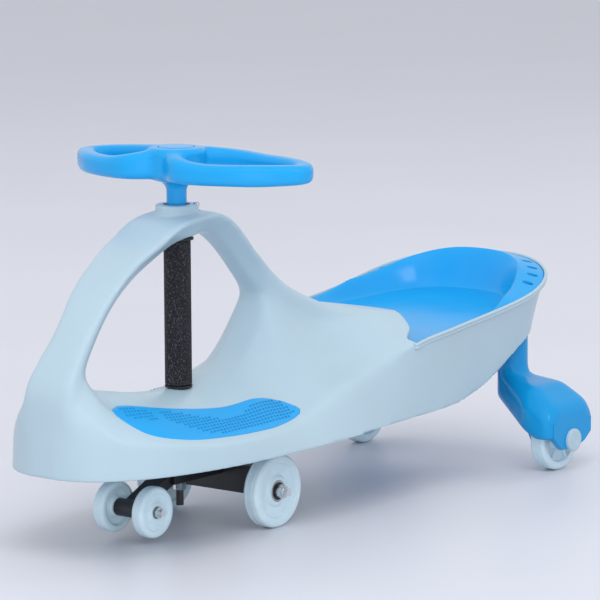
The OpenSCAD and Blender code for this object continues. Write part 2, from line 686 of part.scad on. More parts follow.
// Middle line of the left grip from the hub round its tip and back:
// x, y, height of the bar, height of its middle from the top of the wheel
grip_tip = wheel_span / 2 - bar_w / 2;
grip_rows = [
    [18, 8, bar_h, -21], [35, 32, bar_h, -21.5], [33, 58, bar_h - 1, -21],
    [23, 0.63 * grip_tip, bar_h - 2, -20.5], [9, 0.78 * grip_tip, bar_h - 3, -20],
    [-8, 0.91 * grip_tip, bar_h - 4, -20], [-26, grip_tip, bar_h - 5, -20],
    [-43, 0.91 * grip_tip, bar_h - 5, -19], [-50, 0.73 * grip_tip, bar_h - 6, -18],
    [-51, 0.51 * grip_tip, bar_h - 6, -17], [-47, 0.32 * grip_tip, bar_h - 5, -16],
    [-30, 18, bar_h - 3, -16], [-10, 4, bar_h, -18]
];
grip_steps = 26;

module grip_node(i) {
    row = row_at(grip_rows, i * (len(grip_rows) - 1) / grip_steps);
    translate([row[0], row[1], wheel_crown + row[3]]) scale([1, 1, row[2] / bar_w])
        sphere(d = bar_w, $fn = 14);
}

module steering_wheel() {
    color(blue) at_column() difference() {
        union() {
            both_sides() for (i = [0 : grip_steps - 1]) hull() {
                grip_node(i);
                grip_node(i + 1);
            }
            hull() {
                translate([0, 0, hub_foot]) cylinder(d = hub_d - 14, h = 6);
                translate([0, 0, hub_foot + 14]) cylinder(d = hub_d, h = 6);
                translate([0, 0, hub_top - 1]) cylinder(d = cap_d + 4, h = 1);
            }
        }
        translate([0, 0, hub_foot - 20]) cylinder(d = stem_d + 14, h = 20);
        translate([0, 0, hub_foot - 1])
            cylinder(d = (hex_af + 2 * skin_gap) / cos(30), h = drive_top - hub_foot + 1 + face_gap, $fn = 6);
        translate([0, 0, drive_top - 1]) cylinder(d = bolt_d + 2 * skin_gap, h = 40);
        translate([0, 0, hub_top - 9]) cylinder(d = cap_d - 10, h = 20);
        translate([0, 0, hub_top - 2]) cylinder(d = cap_d + 2 * skin_gap, h = 10);
    }
}

module hub_cap() {
    color(blue) at_column() {
        translate([0, 0, hub_top - 2 + skin_gap])
            cylinder(d = cap_d, h = wheel_crown - hub_top + 2 - skin_gap);
        translate([0, 0, hub_top - 5]) cylinder(d = cap_d - 10 - 2 * skin_gap, h = 4);
    }
}

module hub_bolt() {
    seat = hub_top - 9;
    color(steel) at_column() {
        translate([0, 0, drive_top - bolt_grip]) cylinder(d = bolt_d, h = seat - drive_top + bolt_grip + 0.5);
        translate([0, 0, seat]) cylinder(d = 11, h = 3.6);
    }
}

// Front running gear

module axle_bracket() {
    color(black) at_column() difference() {
        union() {
            translate([-front_back - beam_w / 2, -beam_end, front_z - 5])
                cube([beam_w, 2 * beam_end, arm_z1 - front_z + 5]);
            translate([-front_back, -arm_w / 2, arm_z0]) cube([front_back + arm_lead, arm_w, arm_t]);
            hull() {
                translate([arm_lead - 6, -yoke_w / 2, arm_z0]) cube([6, yoke_w, arm_t]);
                translate([balance_lead - 7, -yoke_w / 2, balance_z]) cube([10, yoke_w, 6]);
            }
            along_y(balance_lead, -tube_end, balance_z) cylinder(d = tube_d, h = 2 * tube_end);
            translate([0, 0, arm_z1 - 1]) cylinder(d = shaft_d + 12, h = bracket_top - arm_z1 + 1);
        }
        translate([0, 0, arm_z1]) cylinder(d = shaft_d + 2 * run_gap, h = bracket_top - arm_z1 + 2);
        translate([0, 0, arm_z0 - 1]) cylinder(d = thread_d + 2 * run_gap, h = arm_z1 - arm_z0 + 2);
        along_y(-front_back, -beam_end - 1, front_z)
            cylinder(d = front_axle_d + 2 * run_gap, h = 2 * beam_end + 2);
        along_y(balance_lead, -tube_end - 1, balance_z)
            cylinder(d = balance_axle_d + 2 * run_gap, h = 2 * tube_end + 2);
    }
}

module shaft_washer() {
    color(steel) at_column() ring(2.6 * thread_d, thread_d + 2 * run_gap, arm_z0 - washer_t, arm_z0);
}

module shaft_nut() {
    color(steel) at_column() difference() {
        translate([0, 0, arm_z0 - washer_t - nut_h])
            cylinder(d = (thread_d + 5) / cos(30), h = nut_h, $fn = 6);
        translate([0, 0, arm_z0 - 30]) cylinder(d = thread_d + 2 * run_gap, h = 40);
    }
}

module shaft_end_cap() {
    top = arm_z0 - washer_t - nut_h;
    color(black) at_column() difference() {
        translate([0, 0, top - 16]) cylinder(d = thread_d + 2, h = 16);
        translate([0, 0, top - 14 - face_gap]) cylinder(d = thread_d + 2 * run_gap, h = 20);
    }
}

front_hub_out = front_track / 2 + front_w / 2;
front_nut_y = front_hub_out + 1.5;

module front_axle() {
    reach = front_nut_y + nut_t + 4;
    color(steel) at_column() along_y(-front_back, -reach, front_z) cylinder(d = front_axle_d, h = 2 * reach);
}

// Washers on both faces of each front wheel's bearings
module front_axle_spacers() {
    inner_y = front_track / 2 - front_w / 2;
    bore = front_axle_d + 2 * run_gap;
    color(steel) at_column() both_sides() {
        along_y(-front_back, beam_end, front_z) ring(front_axle_d + 5, bore, 0, inner_y - beam_end + 1);
        along_y(-front_back, front_hub_out - 1, front_z) ring(front_axle_d + 5, bore, 0, 2.5);
    }
}

// Hexagon nut with its own bore, standing on y = 0 and growing along +Y
module hex_nut(af, bore, h) {
    difference() {
        cylinder(d = af / cos(30), h = h, $fn = 6);
        translate([0, 0, -1]) cylinder(d = bore, h = h + 2);
    }
}

module front_axle_nuts() {
    color(steel) at_column() both_sides() along_y(-front_back, front_nut_y, front_z)
        hex_nut(nut_af, front_axle_d + 2 * run_gap, nut_t);
}

// Half profile of a wheel: round shoulders, a dished face on both sides and a bore
module wheel_profile(d, w, hub, rim, dish, bore, shoulder) {
    h = w / 2;
    face = h - 1;
    floor = face - dish;
    polygon(concat(
        [[bore / 2, -face], [hub / 2, -face], [hub / 2 + 2, -floor], [rim / 2 - 2, -floor], [rim / 2, -h]],
        [for (a = [-90 : 15 : 0]) [d / 2 - shoulder + shoulder * cos(a), -h + shoulder + shoulder * sin(a)]],
        [for (a = [0 : 15 : 90]) [d / 2 - shoulder + shoulder * cos(a), h - shoulder + shoulder * sin(a)]],
        [[rim / 2, h], [rim / 2 - 2, floor], [hub / 2 + 2, floor], [hub / 2, face], [bore / 2, face]]));
}

module front_wheel(side) {
    color(pale) at_column() along_y(-front_back, side * front_track / 2, front_z) difference() {
        rotate_extrude() wheel_profile(front_d, front_w, bearing_d + 8, front_d - 18, 3, bearing_d - 4, 4);
        for (s = [-1, 1]) translate([0, 0, s * (front_w / 2 - 1 - bearing_w / 2 + 0.5)])
            cylinder(d = bearing_d + 2 * run_gap, h = bearing_w + 1, center = true);
    }
}

module front_bearings(side) {
    color(grey) at_column() along_y(-front_back, side * front_track / 2, front_z)
        for (s = [-1, 1]) translate([0, 0, s * (front_w / 2 - 1 - bearing_w / 2)])
            ring(bearing_d, front_axle_d + 2 * run_gap, -bearing_w / 2 + 0.3, bearing_w / 2);
}

module front_wheel_left() { front_wheel(1); }
module front_wheel_right() { front_wheel(-1); }
module front_bearings_left() { front_bearings(1); }
module front_bearings_right() { front_bearings(-1); }

balance_out = balance_track / 2 + balance_w / 2;
bush_wall = 3;

module balance_axle() {
    reach = balance_out + face_gap + 5 + 2;
    color(steel) at_column() along_y(balance_lead, -reach, balance_z)
        cylinder(d = balance_axle_d, h = 2 * reach);
}

module balance_axle_nuts() {
    color(steel) at_column() both_sides() along_y(balance_lead, balance_out + face_gap, balance_z)
        hex_nut(balance_nut_af, balance_axle_d + 2 * run_gap, 5);
}

module balance_wheel(side) {
    bore = balance_axle_d + 2 * bush_wall + 2 * run_gap;
    color(pale) at_column() along_y(balance_lead, side * balance_track / 2, balance_z)
        rotate_extrude() wheel_profile(balance_d, balance_w, bore + 8, balance_d - 14, 2.5, bore, 4);
}

module balance_bushes(side) {
    color(grey) at_column() along_y(balance_lead, side * balance_track / 2, balance_z)
        ring(balance_axle_d + 2 * bush_wall, balance_axle_d + 2 * run_gap, -balance_w / 2, balance_w / 2);
}

module balance_wheel_left() { balance_wheel(1); }
module balance_wheel_right() { balance_wheel(-1); }
module balance_bushes_left() { balance_bushes(1); }
module balance_bushes_right() { balance_bushes(-1); }

// Rear running gear

// Room round the left rear wheel, drawn in past its outer face so that the sloped top keeps its wall
module wheel_well() {
    well_r = rear_d / 2 + well_gap;
    drawn_in = rear_y + rear_w / 2 + well_gap / 2;
    along_y(rear_x, well_in, rear_z) cylinder(r = well_r, h = drawn_in - well_in);
    along_y(rear_x, drawn_in, rear_z) cylinder(r1 = well_r, r2 = well_r - boot_wall, h = well_out - drawn_in);
}

// Lugs round the left rear axle, on the inner and the outer wall of the housing
module axle_lugs() {
    for (lug = [[boot_in, boot_foot + 27], [well_out, boot_foot + 20]]) hull() {
        along_y(rear_x, lug[0], rear_z) cylinder(d = lug_d, h = boot_wall);
        translate([rear_x - lug_d, lug[0], boot_foot + 10])
            cube([2 * lug_d, boot_wall, lug[1] - boot_foot - 10]);
    }
}

// Leg on the left: post, wheel housing, wheel well and bores
module rear_leg() {
    corner = 12;
    difference() {
        union() {
            translate([post_x, post_y, post_foot]) cylinder(d = post_d, h = post_top - post_foot);
            hull() {
                translate([post_x, post_y, post_foot]) cylinder(d = post_d, h = 26, $fn = mesh_fn);
                for (x = [boot_front, boot_rear], s = [x < rear_x ? 1 : -1]) {
                    translate([x + s * corner, boot_out - corner, boot_foot])
                        cylinder(r = corner, h = 20, $fn = mesh_fn);
                    translate([x + s * 20, boot_out - 20, boot_foot + 23]) sphere(r = 20, $fn = mesh_fn);
                    translate([x + s * corner, boot_in + 6 + corner, boot_foot + 10])
                        cylinder(r = corner, h = 24, $fn = mesh_fn);
                    translate([x + s * 26, rear_y - 14, boot_foot + 36]) sphere(r = 20, $fn = mesh_fn);
                }
            }
            axle_lugs();
        }
        wheel_well();
        along_y(rear_x, boot_in - 20, rear_z)
            cylinder(d = rear_axle_d + 2 * run_gap, h = boot_out - boot_in + 40);
        translate([post_x, post_y, leg_screw_z]) rotate([0, 90, 0])
            cylinder(d = screw_d + 2 * run_gap, h = post_d, $fn = mesh_fn);
    }
}

module rear_leg_left() {
    color(blue) at_column() rear_leg();
}

module rear_leg_right() {
    color(blue) at_column() mirror([0, 1, 0]) rear_leg();
}

module leg_screws() {
    head_x = post_x + socket_r;
    color(steel) at_column() both_sides() translate([head_x, post_y, leg_screw_z]) rotate([0, 90, 0]) {
        cylinder(d = 2 * screw_d, h = screw_head_h);
        translate([0, 0, -leg_screw_l]) cylinder(d = screw_d, h = leg_screw_l + 0.5);
    }
}

axle_in = boot_in - 4;

module rear_axle(side) {
    color(steel) at_column() along_y(rear_x, side > 0 ? axle_in : -boot_out, rear_z)
        cylinder(d = rear_axle_d, h = boot_out - axle_in);
}

module rear_axle_left() { rear_axle(1); }
module rear_axle_right() { rear_axle(-1); }

module rear_axle_cap() {
    along_y(rear_x, boot_out, rear_z) {
        cylinder(d = axle_cap_d, h = axle_cap_t - 1.5);
        translate([0, 0, axle_cap_t - 1.5]) cylinder(d1 = axle_cap_d, d2 = axle_cap_d - 4, h = 1.5);
    }
}

module rear_axle_cap_left() {
    color(pale) at_column() rear_axle_cap();
}

module rear_axle_cap_right() {
    color(pale) at_column() mirror([0, 1, 0]) rear_axle_cap();
}

module rear_axle_clips() {
    color(steel) at_column() both_sides() along_y(rear_x, axle_in + 1, rear_z)
        ring(rear_axle_d + 8, rear_axle_d + 2 * run_gap, 0, boot_in - axle_in - 1);
}

module rear_axle_spacers() {
    length = boot_gap - face_gap;
    color(grey) at_column() both_sides() for (y = [well_in, well_out - length])
        along_y(rear_x, y, rear_z) ring(rear_axle_d + 8, rear_axle_d + 2 * run_gap, 0, length);
}

module rear_wheel(side) {
    bore = rear_axle_d + 2 * bush_wall + 2 * run_gap;
    color(pale) at_column() along_y(rear_x, side * rear_y, rear_z)
        rotate_extrude() wheel_profile(rear_d, rear_w, bore + 10, rear_d - 16, 3, bore, 4);
}

module rear_bushes(side) {
    color(grey) at_column() along_y(rear_x, side * rear_y, rear_z)
        ring(rear_axle_d + 2 * bush_wall, rear_axle_d + 2 * run_gap, -rear_w / 2, rear_w / 2);
}

module rear_wheel_left() { rear_wheel(1); }
module rear_wheel_right() { rear_wheel(-1); }
module rear_bushes_left() { rear_bushes(1); }
module rear_bushes_right() { rear_bushes(-1); }

body_shell();
seat_tray();
seat_screws();
foot_pad_left();
foot_pad_right();
upper_bush();
lower_bush();
rear_leg_left();
rear_leg_right();
leg_screws();
rear_axle_left();
rear_axle_right();
rear_axle_cap_left();
rear_axle_cap_right();
rear_axle_clips();
rear_axle_spacers();
steering_wheel();
wheel_stem();
hub_cap();
hub_bolt();
steering_shaft();
column_sleeve();
thrust_washer();
axle_bracket();
shaft_washer();
shaft_nut();
shaft_end_cap();
front_axle();
front_axle_spacers();
front_axle_nuts();
balance_axle();
balance_axle_nuts();
front_wheel_left();
front_wheel_right();
front_bearings_left();
front_bearings_right();
balance_wheel_left();
balance_wheel_right();
balance_bushes_left();
balance_bushes_right();
rear_wheel_left();
rear_wheel_right();
rear_bushes_left();
rear_bushes_right();
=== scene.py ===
"""Looks of the wiggle car: smooth mouldings, wheels, hardware and stage around its fixed frame."""

import json
import math

import bmesh
import bpy
import numpy as np
from bpy.props import FloatProperty, FloatVectorProperty, IntProperty, PointerProperty
from bpy.types import Operator, Panel, PropertyGroup
from mathutils import Matrix, Vector


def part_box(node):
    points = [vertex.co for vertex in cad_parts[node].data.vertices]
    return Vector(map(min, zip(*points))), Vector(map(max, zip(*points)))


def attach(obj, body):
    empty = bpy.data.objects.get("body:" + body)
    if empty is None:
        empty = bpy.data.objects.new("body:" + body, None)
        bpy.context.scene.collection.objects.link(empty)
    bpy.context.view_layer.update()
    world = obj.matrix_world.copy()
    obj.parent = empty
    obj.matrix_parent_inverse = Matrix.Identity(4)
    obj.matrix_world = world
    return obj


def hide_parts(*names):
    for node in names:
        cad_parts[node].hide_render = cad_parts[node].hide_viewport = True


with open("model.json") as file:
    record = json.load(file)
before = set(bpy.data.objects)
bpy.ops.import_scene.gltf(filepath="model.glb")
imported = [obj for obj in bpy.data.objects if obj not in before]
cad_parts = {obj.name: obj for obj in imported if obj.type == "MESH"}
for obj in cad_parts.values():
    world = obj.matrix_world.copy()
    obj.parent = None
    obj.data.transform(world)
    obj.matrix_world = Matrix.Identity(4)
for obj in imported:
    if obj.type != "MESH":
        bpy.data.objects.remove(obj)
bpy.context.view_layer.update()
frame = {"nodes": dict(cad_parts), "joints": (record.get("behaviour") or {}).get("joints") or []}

bl_info = {
    "name": "Wiggle car",
    "version": (1, 0, 0),
    "blender": (4, 5, 0),
    "location": "3D View > Sidebar > Wiggle car",
    "description": "Builds the visible pieces of a wiggle car around its frame",
    "category": "Object",
}

# Shapes are worked out in millimetres from the steering axis and scaled to metres when a mesh is made
MM = 0.001


def joint_at(name):
    """Place of a joint in the frame, in millimetres."""
    joint = next(j for j in frame["joints"] if j["name"] == name)
    return np.array(joint["pos_m"]) / MM


def span(node):
    """Lowest and highest corner of a node, in millimetres from the steering axis."""
    low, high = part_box(node)
    shift = np.array([COLUMN_X, 0, 0])
    return np.array(low) / MM - shift, np.array(high) / MM - shift


COLUMN_X = joint_at("steering_turn")[0]
BODY_LOW, BODY_HIGH = span("body_shell")

# Body
NOSE_REACH = BODY_HIGH[0]
TAIL_REACH = -BODY_LOW[0]
HALF_W = BODY_HIGH[1]
SKIRT_Z = BODY_LOW[2]
COLLAR_TOP = BODY_HIGH[2]
COLLAR_H = 8
COLLAR_D = 43
ARCH_TOP = COLLAR_TOP - COLLAR_H
ARCH_T = 26
ARCH_HALF = 36
ARCH_INNER = 17
NOSE_RUN_X = 95
NOSE_RUN_TOP = 220
SADDLE_RUN_X = 85
SADDLE_RUN_END = 235
SADDLE_RUN_TOP = 235
EDGE_Z = 108
DECK_Z = 146
PROW_Z = 166
WALL = 4
NOSE_MID = -66
TAIL_ROUND = 115
TAIL_MID = TAIL_REACH - TAIL_ROUND
NOSE_POWER = 2.5
TAIL_POWER = 2.4
FOOT_REACH = TAIL_REACH - 20
FOOT_SHARE = 0.865
EDGE_INSET = 4
SHOULDER_INSET = 18
DECK_RIDGE = 0.25
NECK_SHARE = 0.17
SKIN_GAP = 0.4

# Seat
SEAT_FRONT = 250
POMMEL = 62
POMMEL_POWER = 1.6
# Share of the half width where the lip's sides turn straight, and the run of that turn
LIP_TURN = 0.74
LIP_TURN_RUN = 0.14
RIM_FRONT_Z = 169
RIM_TAIL_Z = 223
RIM_LIP = 3
FLOOR_FRONT_Z = 162
FLOOR_SLOPE = 0.085
TRAY_T = 4
LEDGE_W = 26
LEDGE_RISE = 6.5
LEDGE_ROOM = 3
LEDGE_START = 60
LEDGE_RUN = 110
LEDGE_BEAD = 0.9
LEDGE_BEAD_W = 2.2
WALL_RUN = 17
LIP_TUCK = 14
TRAY_INSET = RIM_LIP + SKIN_GAP
TRAY_EDGE = 1.5
TRAY_REACH = 44
# How far the tray's rows move in from the sides for each millimetre back from the lip
LIP_RATIO = 5

# Foot pads
PAD_REAR = -84
PAD_FRONT = 0.75 * NOSE_REACH
PAD_PROUD = 1
PAD_DEPTH = 2


def clamp01(t):
    return np.clip(t, 0, 1)


def ease(t):
    c = clamp01(t)
    return c * c * (3 - 2 * c)


def mix(a, b, t):
    return a + (b - a) * t


def full_turn(steps):
    """Angles evenly round a circle."""
    return np.linspace(0, 2 * np.pi, steps, endpoint=False)


def end_heavy(steps):
    """Shares from 0 to 1 that crowd towards both ends."""
    return (1 - np.cos(np.linspace(0, np.pi, steps))) / 2


def unit(vectors):
    """Rows of vectors, each brought to length 1."""
    return vectors / np.linalg.norm(vectors, axis=1)[:, None]


def at_height(outline, z):
    """Flat outline of (x, y) points, set at a height."""
    return np.column_stack([outline, np.full(len(outline), z)])


def along(line, x):
    """Smooth curve through (x, value) stations in rising order, at one x or at many."""
    xs, values = np.array(line, float).T
    count = len(xs)
    before = np.maximum(np.arange(count) - 1, 0)
    after = np.minimum(np.arange(count) + 1, count - 1)
    slope = (values[after] - values[before]) / (xs[after] - xs[before])
    i = np.clip(np.searchsorted(xs, x, side="right") - 1, 0, count - 2)
    h = xs[i + 1] - xs[i]
    t = clamp01((x - xs[i]) / h)
    ends = (1 + 2 * t) * (1 - t) ** 2 * values[i] + t * t * (3 - 2 * t) * values[i + 1]
    return ends + h * t * (1 - t) * ((1 - t) * slope[i] - t * slope[i + 1])


def row_at(rows, s):
    """Rows on a smooth curve through a list of equal rows, s counted in rows."""
    rows = np.array(rows, float)
    last = len(rows) - 1
    i = np.clip(np.floor(s).astype(int), 0, last - 1)
    t = (s - i)[:, None]
    a, b, c, d = (rows[np.clip(i + k, 0, last)] for k in (-1, 0, 1, 2))
    return 0.5 * (2 * b + (c - a) * t + (2 * a - 5 * b + 4 * c - d) * t**2 + (3 * b - a - 3 * c + d) * t**3)


def taper(u, power):
    """Superellipse: width left at a share u of the way to the end."""
    return np.maximum(0, 1 - clamp01(u) ** power) ** (1 / power)


def risen(share):
    """Height at a share of the way from the deck to the top of the arch."""
    return DECK_Z + share * (ARCH_TOP - DECK_Z)


# Lines along the body: (x, value) from the tail to the nose
SHOULDER_LINE = [
    (-SEAT_FRONT - 10, 0), (-0.94 * SEAT_FRONT, 5), (-0.8 * SEAT_FRONT, 0.75 * SHOULDER_INSET),
    (-0.54 * SEAT_FRONT, SHOULDER_INSET), (-0.28 * SEAT_FRONT, 0.9 * SHOULDER_INSET),
    (-0.08 * SEAT_FRONT, 0.45 * SHOULDER_INSET), (0.12 * SEAT_FRONT, EDGE_INSET), (NOSE_REACH, EDGE_INSET),
]
EDGE_LINE = [
    (-TAIL_REACH, RIM_TAIL_Z), (-TAIL_REACH + 35, RIM_TAIL_Z - 11),
    (-TAIL_MID, mix(RIM_FRONT_Z, RIM_TAIL_Z, 0.44)), (-SEAT_FRONT - 65, RIM_FRONT_Z + 8),
    (-SEAT_FRONT, RIM_FRONT_Z), (-0.8 * SEAT_FRONT, mix(EDGE_Z, RIM_FRONT_Z, 0.73)),
    (-0.54 * SEAT_FRONT, mix(EDGE_Z, RIM_FRONT_Z, 0.44)), (-0.4 * SEAT_FRONT, mix(EDGE_Z, RIM_FRONT_Z, 0.25)),
    (-0.28 * SEAT_FRONT, mix(EDGE_Z, RIM_FRONT_Z, 0.09)), (-0.14 * SEAT_FRONT, EDGE_Z + 1), (0, EDGE_Z),
    (0.3 * NOSE_REACH, EDGE_Z + 1), (0.6 * NOSE_REACH, EDGE_Z + 8), (0.8 * NOSE_REACH, EDGE_Z + 16),
    (0.91 * NOSE_REACH, mix(EDGE_Z, PROW_Z, 0.5)), (0.965 * NOSE_REACH, mix(EDGE_Z, PROW_Z, 0.75)),
    (NOSE_REACH, PROW_Z),
]
CROWN_LINE = [
    (-TAIL_REACH, RIM_TAIL_Z), (-TAIL_REACH + 35, RIM_TAIL_Z - 13),
    (-TAIL_MID, mix(RIM_FRONT_Z, RIM_TAIL_Z, 0.39)), (-SEAT_FRONT - POMMEL - 30, RIM_FRONT_Z + 15),
    (-SEAT_FRONT - POMMEL, RIM_FRONT_Z + 20), (-SEAT_FRONT, RIM_FRONT_Z + 30),
    (-0.8 * SEAT_FRONT, risen(0.36)), (-0.62 * SEAT_FRONT, risen(0.41)), (-0.54 * SEAT_FRONT, risen(0.45)),
    (-0.47 * SEAT_FRONT, risen(0.44)), (-0.43 * SEAT_FRONT, risen(0.31)), (-0.37 * SEAT_FRONT, risen(0.18)),
    (-0.3 * SEAT_FRONT, risen(0.09)), (-0.16 * SEAT_FRONT, risen(0.04)), (0, DECK_Z),
    (0.3 * NOSE_REACH, risen(0.02)), (0.5 * NOSE_REACH, risen(0.06)), (0.7 * NOSE_REACH, risen(0.12)),
    (0.79 * NOSE_REACH, risen(0.21)), (0.84 * NOSE_REACH, risen(0.31)), (0.9 * NOSE_REACH, risen(0.28)),
    (NOSE_REACH, PROW_Z),
]
FOOT_LINE = [
    (-TAIL_REACH, RIM_TAIL_Z - 5), (-TAIL_REACH + 7, RIM_TAIL_Z - 28), (-TAIL_REACH + 15, RIM_TAIL_Z - 51),
    (-TAIL_REACH + 25, SKIRT_Z + 73), (-TAIL_REACH + 45, SKIRT_Z + 65), (-TAIL_REACH + 84, SKIRT_Z + 56),
    (-TAIL_MID, SKIRT_Z + 43), (-TAIL_MID + 31, SKIRT_Z + 27), (-TAIL_MID + 68, SKIRT_Z + 14.5),
    (-TAIL_MID + 112, SKIRT_Z + 6), (-0.85 * SEAT_FRONT, SKIRT_Z + 3), (-0.4 * SEAT_FRONT, SKIRT_Z),
    (NOSE_REACH, SKIRT_Z),
]
# Arch from the nose to the saddle: x and z of its outer face, half widths of the two faces, thickness
ARCH_ROWS = [
    (NOSE_REACH - 4, EDGE_Z + 16, 40, 28, 32), (NOSE_REACH - 1, PROW_Z - 18, 34, 25, 32),
    (NOSE_REACH - 7, PROW_Z + 13, 32, 20, 31), (NOSE_REACH - 43, risen(0.44), 28, 15, 27),
    (NOSE_REACH - 73, risen(0.633), 29, 14, 25.5), (100, risen(0.78), 31, ARCH_INNER - 3, 26),
    (64, risen(0.888), ARCH_HALF - 1, ARCH_INNER - 2, ARCH_T),
    (31, risen(0.972), ARCH_HALF, ARCH_INNER - 1, ARCH_T + 1),
    (0, ARCH_TOP, ARCH_HALF, ARCH_INNER, ARCH_T), (-27, ARCH_TOP, ARCH_HALF, ARCH_INNER - 1, ARCH_T - 2),
    (-51, risen(0.95), ARCH_HALF - 2, ARCH_INNER - 2, ARCH_T - 6), (-73, risen(0.86), 31, 14, 18),
    (-95, risen(0.743), 29, 13, 18), (-121, risen(0.62), 29, 14, 23), (-153, risen(0.49), 32, 20, 30),
    (-196, risen(0.375), 40, 30, 34), (-240, risen(0.28), 50, 40, 30), (-285, risen(0.18), 56, 46, 22),
]
# Inner and outer edge of a foot pad, as shares of the deck's half width
PAD_INNER = [
    (PAD_REAR, 0.82), (0.93 * PAD_REAR, 0.7), (0.71 * PAD_REAR, 0.59), (0, 0.5),
    (0.32 * PAD_FRONT, 0.425), (0.65 * PAD_FRONT, 0.383), (0.87 * PAD_FRONT, 0.41), (PAD_FRONT, 0.56),
]
PAD_OUTER = [
    (PAD_REAR, 0.89), (0.91 * PAD_REAR, 0.938), (0.62 * PAD_REAR, 0.949), (0, 0.92),
    (0.32 * PAD_FRONT, 0.904), (0.65 * PAD_FRONT, 0.906), (0.87 * PAD_FRONT, 0.842), (PAD_FRONT, 0.64),
]


def plan(x):
    """Share of the full half width that the plan has at x."""
    ahead = taper((x - NOSE_MID) / (NOSE_REACH - NOSE_MID), NOSE_POWER)
    behind = taper((-TAIL_MID - x) / TAIL_ROUND, TAIL_POWER)
    return np.where(x > NOSE_MID, ahead, behind)


def edge_half(x):
    full = plan(x) * HALF_W
    return np.maximum(full - along(SHOULDER_LINE, x), 0.6 * full)


def foot_half(x):
    narrowing = mix(1, FOOT_SHARE, clamp01((NOSE_MID - x) / (TAIL_MID + NOSE_MID)))
    behind = HALF_W * narrowing * taper((-TAIL_MID - x) / (FOOT_REACH - TAIL_MID), TAIL_POWER)
    return np.where(x > NOSE_MID, plan(x) * HALF_W, np.maximum(behind, 0.5 * edge_half(x)))


def skin_z(x, t):
    """Height of the top skin at x and at a share t of the way from the middle to the edge."""
    deck = 1 - (np.sqrt(t * t + DECK_RIDGE**2) - DECK_RIDGE) / (math.sqrt(1 + DECK_RIDGE**2) - DECK_RIDGE)
    saddle = mix(deck, 1 - t**1.4, ease((-x - 150) / 80))
    saddle = mix(saddle, ease((0.97 - t) / 0.56), ease((-x - SEAT_FRONT + 35) / 50))
    neck = (1 - clamp01((t - NECK_SHARE) / (1 - NECK_SHARE))) ** 1.9
    at_neck = ease((-x - 40) / 70) * ease((x + SEAT_FRONT - 10) / 80)
    return mix(along(EDGE_LINE, x), along(CROWN_LINE, x), mix(saddle, neck, at_neck))


def cavity_foot(x, inset):
    """Foot of the cavity: below the skirt where the hull is open, above it along the transom."""
    foot = along(FOOT_LINE, x)
    closed = np.minimum(foot + 2.5 * inset, along(EDGE_LINE, x) - inset - 2)
    return np.where(x > -FOOT_REACH + 6, foot - 8 * inset, closed)


def hull_rings(inset=0, top_steps=26, side_steps=16):
    """Rings round the hull from the nose to the tail, moved in by an inset."""
    turn = np.radians(np.linspace(0, 90, 48))
    x = np.concatenate([
        NOSE_MID + (NOSE_REACH - NOSE_MID - SKIN_GAP) * np.cos(turn),
        np.linspace(NOSE_MID, -TAIL_MID, 70)[1:],
        -TAIL_MID - (TAIL_ROUND - SKIN_GAP) * np.sin(turn[1::2]),
    ])[:, None]
    t = np.linspace(0, 1, top_steps)[None, :]
    s = np.linspace(0, 1, side_steps)[None, 1:]
    edge_y = np.maximum(edge_half(x) - inset, 1)
    foot_y = np.maximum(foot_half(x) - inset, 0.8)
    skin = skin_z(x, t)
    steep = np.hypot(1, np.gradient(skin, t[0], axis=1) / edge_y)
    edge_h = along(EDGE_LINE, x) - inset
    foot_h = along(FOOT_LINE, x)
    below = cavity_foot(x, inset) if inset else foot_h
    top_h = np.maximum(skin - inset * np.minimum(steep, 3), np.maximum(foot_h, below) + 1)
    top = np.stack([t * edge_y, np.where(t < 1, top_h, edge_h)], -1)
    side = np.stack([mix(edge_y, foot_y, s**0.7), mix(edge_h, np.maximum(foot_h, below), s)], -1)
    half = np.concatenate([top, side, np.stack([foot_y, below], -1)], 1)
    whole = np.concatenate([half, half[:, :0:-1] * [-1, 1]], 1)
    shrink = np.where(x > NOSE_MID, 1 - inset / (NOSE_REACH - NOSE_MID), 1 - inset / TAIL_ROUND)
    place = mix(np.clip(x, -TAIL_MID, NOSE_MID), x, shrink)
    return np.concatenate([np.broadcast_to(place[:, :, None], whole.shape[:2] + (1,)), whole], 2)


def round_corners(rings, passes=2):
    """Corner cutting round each closed ring."""
    for _ in range(passes):
        ahead = np.roll(rings, -1, 1)
        cut = np.stack([0.75 * rings + 0.25 * ahead, 0.25 * rings + 0.75 * ahead], 2)
        rings = cut.reshape(len(rings), -1, 3)
    return rings


def arch_rings(steps=150, edge=4):
    """Rings round the arch: outer face, left flank, inner face, right flank."""
    x, z, outer, inner, depth = row_at(ARCH_ROWS, np.linspace(0, len(ARCH_ROWS) - 1, steps)).T
    dx, dz = unit(np.gradient(np.stack([x, z], 1), axis=0)).T
    zero = 0 * depth
    half = [
        (outer - edge, 1 + zero), (outer, edge + zero), (mix(outer, inner, 0.45), depth / 2),
        (inner + 1, depth - edge), (np.maximum(inner - 3, 1), depth),
    ]
    points = [(zero, zero), *half, (zero, depth), *[(-y, d) for y, d in reversed(half)]]
    rings = [np.stack([x - d * dz, y, z + d * dx], -1) for y, d in points]
    return round_corners(np.stack(rings, 1))


def lip_x(y):
    """Where the saddle's lip stands at a distance y from the middle."""
    t = np.minimum(1, np.abs(y) / HALF_W)
    return -SEAT_FRONT - POMMEL * (1 - t**POMMEL_POWER) * (1 - ease((t - LIP_TURN) / LIP_TURN_RUN))


def floor_z(x):
    return FLOOR_FRONT_Z + FLOOR_SLOPE * (-SEAT_FRONT - x)


